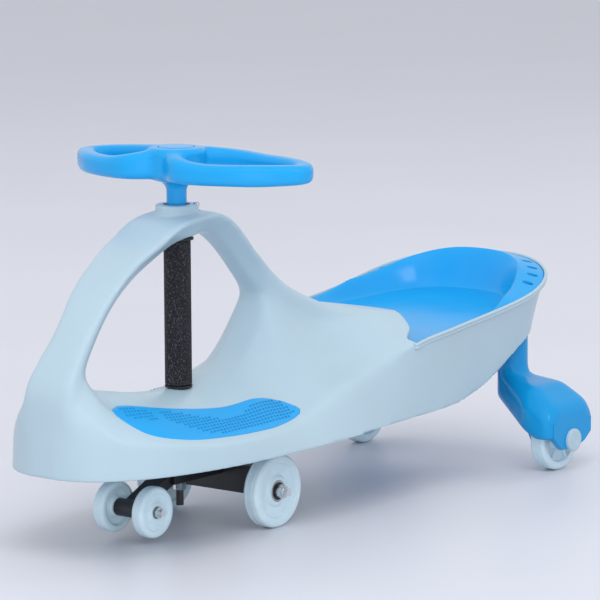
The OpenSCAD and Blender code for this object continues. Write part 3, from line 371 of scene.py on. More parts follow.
def tray_z(x, d, rim_x, rise=LEDGE_RISE):
    """Height of the tray at a distance d inside the edge of the body, which it reaches at rim_x."""
    ledge = LEDGE_W * ease((-x - TAIL_MID + LEDGE_START) / LEDGE_RUN)
    across = clamp01((d - TRAY_INSET) / np.maximum(ledge, 1)) * np.minimum(1, ledge / 9)
    rim = along(EDGE_LINE, rim_x) - 1 + rise * across
    past = d - TRAY_INSET - ledge
    bead = LEDGE_BEAD * np.minimum(1, ledge / 12) * np.exp(-((past / LEDGE_BEAD_W) ** 2))
    return mix(np.maximum(rim, floor_z(x)), floor_z(x), ease(past / WALL_RUN)) + bead


def seat_loop(d, back, tucked=0, lip_steps=60, side_steps=36, turn_steps=72):
    """Closed outline of the seat, d inside the edge of the body and back from the saddle's lip."""
    b = HALF_W - d
    a = TAIL_ROUND - d
    y = np.linspace(-b, b, lip_steps + 1)
    tuck = tucked * LIP_TUCK * ease((HALF_W - np.abs(y) - WALL_RUN - 6) / 20)
    lip = np.stack([lip_x(y) - back + tuck, y], 1)
    side_x = np.linspace(lip_x(b) - back, -TAIL_MID, side_steps + 1)[1:-1]
    side = np.stack([side_x, np.full_like(side_x, b)], 1)
    q = np.radians(np.linspace(90, -90, turn_steps + 1))
    tail_x = -TAIL_MID - a * np.abs(np.cos(q)) ** (2 / TAIL_POWER)
    tail_y = b * np.sign(q) * np.abs(np.sin(q)) ** (2 / TAIL_POWER)
    return np.concatenate([lip, side, np.stack([tail_x, tail_y], 1), side[::-1] * [1, -1]])


def tray_ring(d, back, drop, tucked=0, rise=LEDGE_RISE):
    loop = seat_loop(d, back, tucked)
    behind = loop[:, 0] < -TAIL_MID
    depth = np.where(behind, d, HALF_W - np.abs(loop[:, 1]))
    rim_x = np.where(behind, seat_loop(TRAY_INSET, SKIN_GAP)[:, 0], loop[:, 0])
    return np.column_stack([loop, tray_z(loop[:, 0], depth, rim_x, rise) - drop])


def pad_row(x, grow):
    """Inner and outer edge of the left pad at x, grown by a gap."""
    c = np.clip(x, PAD_REAR, PAD_FRONT)
    half = edge_half(c)
    return half * along(PAD_INNER, c) - grow, half * along(PAD_OUTER, c) + grow


def deck_z_at(x, y):
    return skin_z(x, np.minimum(1, np.abs(y) / edge_half(x)))


# Meshes


def new_object(name, points, faces):
    """Object from points in millimetres, measured from the steering axis."""
    mesh = bpy.data.meshes.new(name)
    metres = (np.array(points, float) + [COLUMN_X, 0, 0]) * MM
    mesh.from_pydata(metres.tolist(), [], faces)
    obj = bpy.data.objects.new(name, mesh)
    bpy.context.scene.collection.objects.link(obj)
    face_outwards(mesh)
    return obj


def face_outwards(mesh):
    bm = bmesh.new()
    bm.from_mesh(mesh)
    bmesh.ops.remove_doubles(bm, verts=bm.verts, dist=1e-6)
    bmesh.ops.recalc_face_normals(bm, faces=bm.faces)
    if bm.calc_volume(signed=True) < 0:
        bmesh.ops.reverse_faces(bm, faces=bm.faces)
    bm.to_mesh(mesh)
    bm.free()


def ring_faces(rings, count, closed=False):
    """Quads between closed rings of a count of points. Closed joins the last ring to the first."""
    faces = []
    for i in range(rings if closed else rings - 1):
        a, b = i * count, (i + 1) % rings * count
        for j in range(count):
            k = (j + 1) % count
            faces.append((a + j, b + j, b + k, a + k))
    return faces


def loft(name, rings):
    """Closed solid through rings of equal count, with flat ends."""
    rings = np.array(rings, float)
    m, n = rings.shape[:2]
    ends = [tuple(range(n)), tuple(range((m - 1) * n, m * n))]
    return new_object(name, rings.reshape(-1, 3), ring_faces(m, n) + ends)


# Radius of the pinhole that a turned solid keeps along its axis
CORE_R = 0.01


def lathe(name, profile, centre, axis="Y", steps=96):
    """Closed profile of (radius, height) turned about an axis through a centre."""
    turn = full_turn(steps)
    radius, height = np.array(profile, float).T
    around = np.stack([np.outer(np.cos(turn), radius), np.outer(np.sin(turn), radius)], -1)
    rise = np.broadcast_to(height, around.shape[:2])[..., None]
    if axis == "Y":
        points = np.concatenate([around[..., :1], rise, around[..., 1:]], -1)
    else:
        points = np.concatenate([around, rise], -1)
    faces = ring_faces(steps, len(profile), closed=True)
    return new_object(name, points.reshape(-1, 3) + np.array(centre), faces)


def arc(x, y, radius, start, end, steps=6):
    """Points on an arc, angles in degrees."""
    turn = np.radians(np.linspace(start, end, steps + 1))
    return [(x + radius * math.cos(a), y + radius * math.sin(a)) for a in turn]


def circle(x, y, radius, steps):
    turn = full_turn(steps)
    return np.stack([x + radius * np.cos(turn), y + radius * np.sin(turn)], 1)


def upright_cylinder(name, x, y, diameter, low, high, steps=64):
    """Solid cylinder along Z."""
    return loft(name, [at_height(circle(x, y, diameter / 2, steps), z) for z in (low, high)])


def axle_ring(axle, radius, y, turn):
    """Points round an axle at a distance y from the middle, with one radius or one for each angle."""
    x, z = axle[0] + radius * np.cos(turn), axle[2] + radius * np.sin(turn)
    return np.column_stack([x, np.full(len(turn), y), z])


def convex(name, points):
    """Convex solid round a cloud of points."""
    obj = new_object(name, points, [])
    bm = bmesh.new()
    bm.from_mesh(obj.data)
    hull = bmesh.ops.convex_hull(bm, input=bm.verts)
    inside = {v for v in hull["geom_interior"] + hull["geom_unused"] if isinstance(v, bmesh.types.BMVert)}
    bmesh.ops.delete(bm, geom=list(inside), context="VERTS")
    bmesh.ops.recalc_face_normals(bm, faces=bm.faces)
    bm.to_mesh(obj.data)
    bm.free()
    return obj


def settle(obj):
    """Turns an object's modifiers into its mesh."""
    bpy.context.view_layer.update()
    solid = bpy.data.meshes.new_from_object(obj.evaluated_get(bpy.context.evaluated_depsgraph_get()))
    obj.modifiers.clear()
    spent = obj.data
    obj.data = solid
    solid.name = obj.name
    bpy.data.meshes.remove(spent)
    return obj


def combine(obj, tools, operation="DIFFERENCE"):
    """Cuts tools from an object, or joins them to it, and removes them."""
    for tool in tools:
        change = obj.modifiers.new(operation.title(), "BOOLEAN")
        change.operation = operation
        change.solver = "MANIFOLD"
        change.object = tool
    settle(obj)
    for tool in tools:
        bpy.data.meshes.remove(tool.data)
    if not obj.data.polygons:
        raise RuntimeError(f"{obj.name} is empty after {operation.lower()}")
    return obj


def remesh(obj, voxel):
    """Even quads over the whole solid, at a spacing in millimetres."""
    change = obj.modifiers.new("Voxels", "REMESH")
    change.mode = "VOXEL"
    change.voxel_size = voxel * MM
    return settle(obj)


def corner_normals(points, quads):
    """Normals at the points of a quad mesh."""
    cross = np.cross(points[quads[:, 2]] - points[quads[:, 0]], points[quads[:, 3]] - points[quads[:, 1]])
    total = np.zeros_like(points)
    for corner in range(4):
        for k in range(3):
            total[:, k] += np.bincount(quads[:, corner], cross[:, k], len(points))
    return total / np.maximum(np.linalg.norm(total, axis=1), 1e-12)[:, None]


SMOOTH_STEP = 0.5
SWELL_STEP = -0.52


def relax(obj, passes, hollows=False, weight=None, keep=False):
    """Smooths a remeshed solid. With hollows, only inner corners fill up into fillets. With keep,
    every second pass swells it back, so that ripples go and its form stays."""
    mesh = obj.data
    points = np.empty(len(mesh.vertices) * 3)
    mesh.vertices.foreach_get("co", points)
    points = points.reshape(-1, 3)
    ends = np.empty(len(mesh.edges) * 2, int)
    mesh.edges.foreach_get("vertices", ends)
    a, b = ends.reshape(-1, 2).T
    quads = np.array([p.vertices[:] for p in mesh.polygons if len(p.vertices) == 4])
    count = len(points)
    degree = np.bincount(a, minlength=count) + np.bincount(b, minlength=count)
    share = np.ones(count) if weight is None else weight(points / MM - [COLUMN_X, 0, 0])
    for turn in range(passes):
        total = np.stack([
            np.bincount(a, points[b, k], count) + np.bincount(b, points[a, k], count) for k in range(3)
        ], 1)
        step = total / np.maximum(degree, 1)[:, None] - points
        if hollows:
            normal = corner_normals(points, quads)
            step = normal * np.maximum((step * normal).sum(1), 0)[:, None]
        points += (SWELL_STEP if keep and turn % 2 else SMOOTH_STEP) * step * share[:, None]
    mesh.vertices.foreach_set("co", points.ravel())
    mesh.update()
    return obj


def smooth_shading(obj, angle=40):
    """Smooth shading, with edges sharper than an angle kept."""
    obj.data.shade_smooth()
    obj.data.set_sharp_from_angle(angle=math.radians(angle))
    return obj


def hand_in(obj, body, slot, finish, *nodes, angle=40):
    """Gives a piece its finish and body and hides the nodes that it stands for. The slot is not used."""
    smooth_shading(obj, angle)
    obj.data.materials.clear()
    for material in finish if isinstance(finish, list) else [finish]:
        obj.data.materials.append(material)
    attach(obj, body)
    if nodes:
        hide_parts(*nodes)
    return obj


def dress(node, finish):
    """Gives a node that stays its finish."""
    mesh = frame["nodes"][node].data
    mesh.materials.clear()
    mesh.materials.append(finish)


# Finishes


class Val:
    """A shader socket that takes part in arithmetic."""

    def __init__(self, shader, socket):
        self.shader = shader
        self.socket = socket

    def math(self, operation, *others, reverse=False):
        values = [self, *others]
        if reverse:
            values.reverse()
        return self.shader.node("ShaderNodeMath", {"operation": operation}, dict(enumerate(values)))

    def __add__(self, other):
        return self.math("ADD", other)

    __radd__ = __add__

    def __sub__(self, other):
        return self.math("SUBTRACT", other)

    def __rsub__(self, other):
        return self.math("SUBTRACT", other, reverse=True)

    def __mul__(self, other):
        return self.math("MULTIPLY", other)

    __rmul__ = __mul__

    def step(self, low, high):
        """0 below low and 1 above high, eased between them."""
        settings = {"interpolation_type": "SMOOTHSTEP"}
        sockets = {"Value": self, "From Min": low, "From Max": high}
        return self.shader.node("ShaderNodeMapRange", settings, sockets)


class Shader:
    """A material with a Principled surface."""

    def __init__(self, name, constants=None):
        self.material = bpy.data.materials.new(name)
        self.material.use_nodes = True
        self.nodes = self.material.node_tree.nodes
        self.links = self.material.node_tree.links
        self.surface = self.nodes["Principled BSDF"]
        self.place = self.node("ShaderNodeTexCoord", {}, {}, "Object")
        self.set(self.surface, constants or {})

    def set(self, node, sockets):
        for key, value in sockets.items():
            if isinstance(value, Val):
                self.links.new(value.socket, node.inputs[key])
            else:
                node.inputs[key].default_value = value

    def node(self, kind, settings, sockets, output=0):
        node = self.nodes.new(kind)
        for key, value in settings.items():
            setattr(node, key, value)
        self.set(node, sockets)
        return Val(self, node.outputs[output])

    def noise(self, size, detail=2, stretch=None):
        """Noise with features of a size in millimetres, stretched along an axis if asked."""
        vector = self.place
        if stretch:
            vector = self.node("ShaderNodeMapping", {}, {"Vector": self.place, "Scale": stretch})
        sockets = {"Vector": vector, "Scale": 1 / (size * MM), "Detail": detail}
        return self.node("ShaderNodeTexNoise", {}, sockets)

    def spots(self, size):
        """Distance to scattered points, a size in millimetres apart."""
        sockets = {"Vector": self.place, "Scale": 1 / (size * MM)}
        return self.node("ShaderNodeTexVoronoi", {}, sockets, "Distance")

    def blend(self, factor, first, second):
        """Mix of two colours."""
        return self.node("ShaderNodeMix", {"data_type": "RGBA"}, {0: factor, 6: first, 7: second}, 2)

    def edges(self, low, high):
        """1 along convex edges."""
        return self.node("ShaderNodeNewGeometry", {}, {}, "Pointiness").step(low, high)

    def bump(self, height, strength, depth):
        """Relief with a depth in millimetres."""
        sockets = {"Height": height, "Strength": strength, "Distance": depth * MM}
        return self.node("ShaderNodeBump", {}, sockets)

    def finish(self, tone, roughness, normal=None):
        """Links what varies to the surface and returns the material."""
        self.set(self.surface, {"Base Color": tone, "Roughness": roughness})
        if normal:
            self.set(self.surface, {"Normal": normal})
        return self.material


def shade(colour, factor):
    """Colour with a factor on its brightness, as a four-part colour."""
    return (*[min(1, c * factor) for c in colour[:3]], 1)


def moulded_plastic(name, colour, roughness, grain, edge_paling, gloss=0.5):
    """Moulded plastic: a faint flow of tone, fine grain, dull handling marks and paler edges."""
    shader = Shader(name, {"Specular IOR Level": gloss})
    flow = shader.noise(90, 3).step(0.3, 0.7)
    marks = shader.noise(30, 1).step(0.1, 0.9)
    tone = shader.blend(flow, shade(colour, 0.975), shade(colour, 1.015))
    # Paler towards convex edges, by pointiness
    tone = shader.blend(shader.edges(0.52, 0.66) * edge_paling, tone, shade(colour, 1.2))
    return shader.finish(
        tone,
        roughness=roughness + 0.05 * flow + 0.08 * marks,
        normal=shader.bump(shader.noise(0.8, 2), grain, 0.1),
    )


def foam_sleeve(name, colour):
    """Black foam skin: open grain and pale flecks."""
    shader = Shader(name, {"Specular IOR Level": 0.35})
    pores = shader.spots(1.5)
    flecks = shader.noise(1.5, 2).step(0.52, 0.64)
    worn = shader.noise(26, 3).step(0.35, 0.7)
    tone = shader.blend(flecks * (0.45 + 0.55 * worn), shade(colour, 0.9), shade(colour, 8))
    return shader.finish(
        tone,
        roughness=0.62 + 0.2 * pores,
        normal=shader.bump(pores + 0.6 * flecks, 0.55, 0.35),
    )


def powder_coat(name, colour):
    """Powder coat: orange peel, dull patches and paler convex edges."""
    shader = Shader(name)
    peel = shader.noise(1.4, 2)
    dull = shader.noise(30, 4).step(0.4, 0.75)
    tone = shader.blend(shader.edges(0.54, 0.64) * 0.5, shade(colour, 1), shade(colour, 4))
    return shader.finish(tone, roughness=0.34 + 0.16 * dull, normal=shader.bump(peel, 0.22, 0.15))


def plated_steel(name, colour, roughness):
    """Plated steel: turning marks and dull spots, darker where dull."""
    shader = Shader(name, {"Metallic": 1.0})
    turned = shader.noise(2.2, 3, stretch=(1, 9, 1))
    dull = shader.noise(5, 4).step(0.45, 0.75)
    tone = shader.blend(dull * 0.5, shade(colour, 1), shade(colour, 0.72))
    return shader.finish(
        tone,
        roughness=roughness + 0.14 * turned + 0.12 * dull,
        normal=shader.bump(turned, 0.12, 0.05),
    )


def rolled_tread(name, colour):
    """Hard wheel plastic: tread rubbed dull and grey where it rolls."""
    shader = Shader(name)
    flow = shader.noise(22, 3).step(0.3, 0.7)
    scuffs = shader.noise(3.5, 5, stretch=(2, 1, 2)).step(0.52, 0.75)
    tone = shader.blend(flow, shade(colour, 0.955), shade(colour, 1.02))
    tone = shader.blend(scuffs * 0.22, tone, shade(colour, 0.78))
    return shader.finish(
        tone,
        roughness=0.3 + 0.1 * flow + 0.16 * scuffs,
        normal=shader.bump(shader.noise(1.2, 2) + 0.5 * scuffs, 0.1, 0.15),
    )


class WigglePaints(PropertyGroup):
    """Colours of the pieces."""

    pale: FloatVectorProperty(
        name="Body", description="Pale plastic of the body", subtype="COLOR", default=(0.412, 0.546, 0.622))
    blue: FloatVectorProperty(
        name="Blue", description="Gloss plastic of the seat, legs and steering wheel", subtype="COLOR",
        default=(0.006, 0.34, 0.75))
    wheel: FloatVectorProperty(
        name="Wheels", description="Hard plastic of the wheels", subtype="COLOR", default=(0.60, 0.76, 0.84))
    black: FloatVectorProperty(
        name="Black", description="Bracket, sleeve and end cap", subtype="COLOR",
        default=(0.011, 0.011, 0.013))
    steel: FloatVectorProperty(
        name="Steel", description="Plated nuts, axles and washers", subtype="COLOR",
        default=(0.72, 0.73, 0.75))
    grey: FloatVectorProperty(
        name="Grey", description="Bushes and spacers", subtype="COLOR", default=(0.19, 0.21, 0.24))


class WiggleSizes(PropertyGroup):
    """Fine sizes of the pieces."""

    body_voxel: FloatProperty(
        name="Body mesh", description="Spacing of the body's mesh in millimetres", default=2.0, min=1.2)
    small_voxel: FloatProperty(
        name="Small mesh", description="Spacing of the steering wheel's and legs' mesh in millimetres",
        default=1.4, min=0.8)
    fillet_passes: IntProperty(
        name="Fillet", description="Passes that fill the inner corners of the body", default=90, min=0)
    foot_passes: IntProperty(
        name="Arch feet", description="Passes that smooth the body where the arch runs out", default=60,
        min=0)
    dot_pitch: FloatProperty(
        name="Dot pitch", description="Spacing of a foot pad's dots in millimetres", default=5.0)
    dot_d: FloatProperty(name="Dot size", description="Diameter of a dot in millimetres", default=2.6)
    dot_h: FloatProperty(name="Dot height", description="Height of a dot in millimetres", default=1.2)
    rib_count: IntProperty(name="Wheel ribs", description="Ribs in the face of a rear wheel", default=6)


class WiggleStage(PropertyGroup):
    """Floor, lamps and camera."""

    azimuth: FloatProperty(
        name="Camera azimuth", description="Angle of the camera from +Y towards +X", subtype="ANGLE",
        default=math.radians(51.776))
    elevation: FloatProperty(
        name="Camera elevation", description="Angle of the camera above the floor", subtype="ANGLE",
        default=math.radians(8.838))
    roll: FloatProperty(
        name="Camera roll", description="Tilt of the picture", subtype="ANGLE", default=math.radians(-0.322))
    distance: FloatProperty(
        name="Camera distance", description="From the camera to what it looks at", unit="LENGTH",
        default=3.9926)
    lens: FloatProperty(name="Lens", description="Focal length in millimetres", default=228.0)
    floor: FloatVectorProperty(
        name="Floor", description="Colour of the floor", subtype="COLOR", default=(0.66, 0.67, 0.73))
    sky: FloatVectorProperty(
        name="Surround", description="Colour of the surrounding light", subtype="COLOR",
        default=(0.93, 0.95, 1.0))


def sizes():
    return bpy.context.scene.wiggle_sizes


# Each finish: its maker, the material's name, a paint, a factor on the paint and the maker's other values
FINISHES = {
    "body": (moulded_plastic, "ice_plastic", "pale", 1, 0.27, 0.06, 0.12),
    "cap": (moulded_plastic, "ice_cap_plastic", "pale", 1, 0.3, 0.08, 0.3),
    "blue": (moulded_plastic, "blue_gloss_plastic", "blue", 1, 0.16, 0.04, 0.08, 0.4),
    # Legs: a darker copy of the same blue, painted shade to tone down how brightly the lamps light them
    "leg": (moulded_plastic, "blue_leg_plastic", "blue", 0.84, 0.12, 0.04, 0.08, 0.3),
    "pad": (moulded_plastic, "blue_pad_plastic", "blue", 1, 0.3, 0.1, 0.15, 0.4),
    # Dots: a darker copy of the blue, painted shade for the shadow round each raised dot
    "dots": (moulded_plastic, "blue_dot_plastic", "blue", 0.66, 0.3, 0.1, 0.15, 0.4),
    "black": (moulded_plastic, "black_plastic", "black", 1, 0.45, 0.1, 0.2),
    "bush": (moulded_plastic, "bush_plastic", "grey", 1, 0.42, 0.1, 0.2),
    "wheel": (rolled_tread, "wheel_plastic", "wheel", 1),
    # Balance wheels: a paler copy of the wheel paint, painted light where little light reaches under the body
    "small_wheel": (rolled_tread, "balance_wheel_plastic", "wheel", 1.14),
    "sleeve": (foam_sleeve, "sleeve_foam", "black", 1),
    "bracket": (powder_coat, "bracket_coat", "black", 1),
    "shield": (powder_coat, "bearing_shield", "black", 1),
    "bright": (plated_steel, "bright_plating", "steel", 1, 0.16),
    "plain": (plated_steel, "plain_steel", "steel", 0.8, 0.32),
    "bearing": (plated_steel, "bearing_steel", "steel", 0.6, 0.28),
}
made_finishes = {}


def finish_of(kind):
    """One material for each finish, made when it is first asked for."""
    if kind not in made_finishes:
        maker, name, paint, factor, *values = FINISHES[kind]
        colour = shade(getattr(bpy.context.scene.wiggle_paints, paint), factor)
        made_finishes[kind] = maker(name, colour, *values)
    return made_finishes[kind]


# Pieces

# Column and its bushes
STEM_D = span("wheel_stem")[1][1] * 2 - 12
WHEEL_TOP = span("hub_cap")[1][2]
HUB_FOOT = WHEEL_TOP - 34
UPPER_BUSH_D = STEM_D + 7
LOWER_BUSH_D = 22
BUSH_FLANGE_D = LOWER_BUSH_D + 6.8
BOSS_FOOT = DECK_Z - 46
BUSH_SEAT = DECK_Z + 0.5
BORE_TOP = DECK_Z + 20
COLLAR_CLEAR = COLLAR_TOP + 10
COLLAR_PIN = (-13, 15)
PIN_D = 7

# Axles
REAR_AXLE = joint_at("rear_wheel_left_spin") - [COLUMN_X, 0, 0]
FRONT_AXLE = joint_at("front_wheel_left_spin") - [COLUMN_X, 0, 0]
BALANCE_AXLE = joint_at("balance_wheel_left_spin") - [COLUMN_X, 0, 0]
REAR_X, REAR_Y, REAR_Z = REAR_AXLE

# Rear legs: housing round the wheel, and post
REAR_W = 18
BOOT_GAP = 9
BOOT_WALL = 6
WELL_IN = REAR_Y - REAR_W / 2 - BOOT_GAP
WELL_OUT = REAR_Y + REAR_W / 2 + BOOT_GAP
BOOT_IN = WELL_IN - BOOT_WALL
BOOT_OUT = WELL_OUT + BOOT_WALL
BOOT_FOOT = REAR_Z + 4
POST_X = REAR_X - 6
POST_Y = BOOT_IN - 36
POST_D = 34
POST_TOP = span("rear_leg_left")[1][2]
POST_FOOT = BOOT_FOOT + 34
SOCKET_FOOT = SKIRT_Z + 62

SIDES = {"left": 1, "right": -1}


def seat_cutter():
    """Everything above the tray's underside inside the body's lip."""
    steps = np.linspace(TRAY_REACH, 0, 12)
    rings = [tray_ring(RIM_LIP + s, s / LIP_RATIO, TRAY_T + SKIN_GAP, 0, -LEDGE_ROOM) for s in steps]
    rings += [at_height(seat_loop(RIM_LIP + s, s / LIP_RATIO), RIM_TAIL_Z + 60 + s) for s in (0, TRAY_REACH)]
    return loft("seat_cutter", rings)


def pad_grid(grow, steps, shares):
    """Points of the deck under the left pad, grown by a gap: rows along x, shares from the inner edge out."""
    x = mix(PAD_REAR - grow, PAD_FRONT + grow, end_heavy(steps))[:, None]
    low, high = pad_row(x, grow)
    y = mix(low, high, shares[None, :])
    return np.broadcast_to(x, y.shape), y, deck_z_at(x, y)


def pad_block(name, side, grid, under, over):
    """Solid from a depth under the points of a pad to a height over them."""
    x, y, z = grid
    lower = np.stack([x, side * y, z - under], -1)
    upper = np.stack([x, side * y, z + over], -1)
    return loft(name, np.concatenate([lower, upper[:, ::-1]], 1))


def pad_cutter(side):
    grid = pad_grid(SKIN_GAP, 90, np.linspace(0, 1, 14))
    return pad_block("pad_cutter", side, grid, PAD_DEPTH, 30)


def body_cavity():
    """Inside of the hull, less the bosses, sockets and curtain that stand in it."""
    cavity = loft("cavity", hull_rings(WALL + 1, 26, 12))
    b = HALF_W - 1.5 * RIM_LIP
    y = np.linspace(-b, b, 41)
    edge = np.stack([lip_x(y), y, tray_z(lip_x(y), HALF_W - np.abs(y), lip_x(y)) + SKIN_GAP], 1)
    foot = np.concatenate([edge - [WALL, 0, 0], edge[::-1] + [WALL, 0, 0]])
    curtain = loft("curtain", [at_height(foot[:, :2], ARCH_TOP), foot])
    boss = upright_cylinder("boss", 0, 0, LOWER_BUSH_D + 2 * WALL + 2, BOSS_FOOT, BORE_TOP)
    sockets = [
        upright_cylinder("socket", POST_X, s * POST_Y, POST_D + 2 * WALL + 2, SOCKET_FOOT, POST_TOP + 5)
        for s in SIDES.values()
    ]
    return combine(cavity, [curtain, boss, *sockets])


def tube(name, path, radius, steps=14):
    """Round bead along a closed path that runs nearly level."""
    travel = np.roll(path, -1, 0) - np.roll(path, 1, 0)
    across = unit(np.cross(travel, [0, 0, 1]))
    up = unit(np.cross(across, travel))
    turn = full_turn(steps)[:, None]
    rings = path[:, None] + radius * (np.cos(turn) * across[:, None] + np.sin(turn) * up[:, None])
    return new_object(name, rings.reshape(-1, 3), ring_faces(len(path), steps, closed=True))


def rim_bead(radius, inset, drop, lip_steps=60):
    """Bead of the rolled lip round the seat's opening: along the saddle, the sides and the tail."""
    loop = seat_loop(inset, -inset, lip_steps=lip_steps)
    x, y = loop.T
    on_saddle = np.arange(len(loop)) <= lip_steps
    z = np.where(on_saddle, deck_z_at(x, y), along(EDGE_LINE, x))
    return tube("rim_bead", round_corners(np.column_stack([loop, z - drop])[None], 1)[0], radius)


def clear_of_edges(points):
    """Share of smoothing for each point of the body: none at the collar, the seat's rim and the skirt."""
    x, y, z = points.T
    at_side = ease((np.abs(y) / edge_half(x) - 0.75) / 0.15)
    at_seat = ease((-x - SEAT_FRONT) / 30) * np.maximum(at_side, ease((-x - SEAT_FRONT - POMMEL) / 20))
    off_rim = 1 - at_seat * ease((z - along(EDGE_LINE, x) + 12) / 7)
    off_collar = np.where(z > ARCH_TOP - 15, ease((np.hypot(x, y) - COLLAR_D / 2 - 3) / 8), 1)
    return off_collar * off_rim * ease((z - along(FOOT_LINE, x) - 2) / 8)


def at_arch_feet(points):
    """Share of smoothing for each point of the body: all where the arch runs out into nose and saddle."""
    x, _, z = points.T
    front = ease((x - NOSE_RUN_X) / 30) * (1 - ease((z - NOSE_RUN_TOP) / 40))
    on_saddle = ease((-x - SADDLE_RUN_X) / 30) * ease((x + SADDLE_RUN_END) / 40)
    rear = on_saddle * (1 - ease((z - SADDLE_RUN_TOP) / 35))
    return np.maximum(front, rear) * ease((z - EDGE_Z - 8) / 14)


class WIGGLE_OT_body(Operator):
    """Body shell: hull, arch, collar and rolled lip in one moulding"""

    bl_idname = "wiggle.body"
    bl_label = "Body shell"
    first_passes = 20
    fairing_passes = 60
    last_passes = 6
    # Radius, inset and drop of each bead of the lip
    rim_beads = ((1.8, 1.5, 1.5), (1.9, 2, 4.6))

    def execute(self, context):
        body = loft("body_shell_skin", hull_rings())
        collar = upright_cylinder("collar", 0, 0, COLLAR_D, ARCH_TOP - ARCH_T + 3, COLLAR_TOP, 96)
        combine(body, [loft("arch", arch_rings()), collar], "UNION")
        remesh(body, sizes().body_voxel)
        relax(body, self.first_passes, weight=clear_of_edges, keep=True)
        relax(body, sizes().fillet_passes, hollows=True, weight=clear_of_edges)
        relax(body, sizes().foot_passes, weight=at_arch_feet)
        relax(body, self.fairing_passes, weight=clear_of_edges, keep=True)
        relax(body, self.last_passes, weight=clear_of_edges)
        combine(body, self.cutters())
        combine(body, [rim_bead(*bead) for bead in self.rim_beads], "UNION")
        hand_in(body, "chassis", "body_plastic", finish_of("body"), "body_shell")
        pin = lathe("collar_pin", self.pin_profile(), (*COLLAR_PIN, 0), "Z", 40)
        hand_in(pin, "chassis", "plain_steel", finish_of("bright"))
        return {"FINISHED"}

    def pin_profile(self, radius=PIN_D / 2, edge=1.2):
        """Locking pin in the collar's notch: a shank under a domed head."""
        low, high = ARCH_TOP - 2, COLLAR_TOP + 1.5
        return [
            (CORE_R, low), (0.7 * radius, low), (0.7 * radius, high - 3.5), (radius, high - 3),
            *arc(radius - edge, high - edge, edge, 0, 80, 4), (CORE_R, high),
        ]

    def cutters(self):
        """Seat opening, pad pockets, cavity and the bores for bushes and posts."""
        upper, lower = (diameter + 2 * SKIN_GAP for diameter in (UPPER_BUSH_D, LOWER_BUSH_D))
        bores = [
            upright_cylinder("upper_bore", 0, 0, upper, ARCH_TOP - ARCH_T - 20, COLLAR_CLEAR),
            upright_cylinder("lower_bore", 0, 0, lower, BOSS_FOOT - 1, BORE_TOP),
            upright_cylinder("bush_seat", 0, 0, BUSH_FLANGE_D, BUSH_SEAT, BORE_TOP),
        ]
        bores += [
            upright_cylinder("post_bore", POST_X, s * POST_Y, POST_D + 2 * SKIN_GAP, 0, POST_TOP + SKIN_GAP)
            for s in SIDES.values()
        ]
        notch = upright_cylinder("notch", *COLLAR_PIN, PIN_D + 1.2, ARCH_TOP, COLLAR_CLEAR, 40)
        return [seat_cutter(), pad_cutter(1), pad_cutter(-1), body_cavity(), notch, *bores]


class WIGGLE_OT_seat(Operator):
    """Seat tray with its ledge and slots"""

    bl_idname = "wiggle.seat"
    bl_label = "Seat tray"
    # Way in from the tray's edge, and how far its rounding drops there
    rounding = ((0, 1.2), (0.5, 0.4), (1.3, 0.05))
    # Angles of the slots round a rear quarter, in degrees
    slot_angles = (34, 47, 60, 73)

    def execute(self, context):
        rows = [*self.rounding, *((s, 0) for s in np.linspace(2.5, TRAY_REACH, 34))]
        top = [self.row(s, drop) for s, drop in rows]
        under = [self.row(TRAY_EDGE + s * (1 - TRAY_EDGE / TRAY_REACH), TRAY_T) for s, _ in reversed(rows)]
        tray = loft("seat_tray_skin", under + top)
        combine(tray, self.slots())
        hand_in(tray, "chassis", "blue_plastic", finish_of("blue"), "seat_tray", angle=50)
        return {"FINISHED"}

    def row(self, s, drop):
        return tray_ring(TRAY_INSET + s, SKIN_GAP + s / LIP_RATIO, drop, 1)

    def slots(self, length=12, width=6.5):
        """Round-ended cutters square to the ledge's edge, on both rear quarters."""
        inset = TRAY_INSET + 0.45 * LEDGE_W
        reach = (length - width) / 2
        ends = arc(reach, 0, width / 2, -90, 90, 8) + arc(-reach, 0, width / 2, 90, 270, 8)
        u, v = np.array(ends).T
        cutters = []
        for side in SIDES.values():
            for angle in np.radians(self.slot_angles):
                x = -TAIL_MID - (TAIL_ROUND - inset) * math.cos(angle) ** (2 / TAIL_POWER)
                y = (HALF_W - inset) * math.sin(angle) ** (2 / TAIL_POWER)
                c, s = math.cos(math.pi - angle), math.sin(math.pi - angle)
                ring = np.stack([x + u * c - v * s, side * (y + u * s + v * c)], 1)
                cutters.append(loft("slot", [at_height(ring, z) for z in (floor_z(x), RIM_TAIL_Z + 30)]))
        return cutters


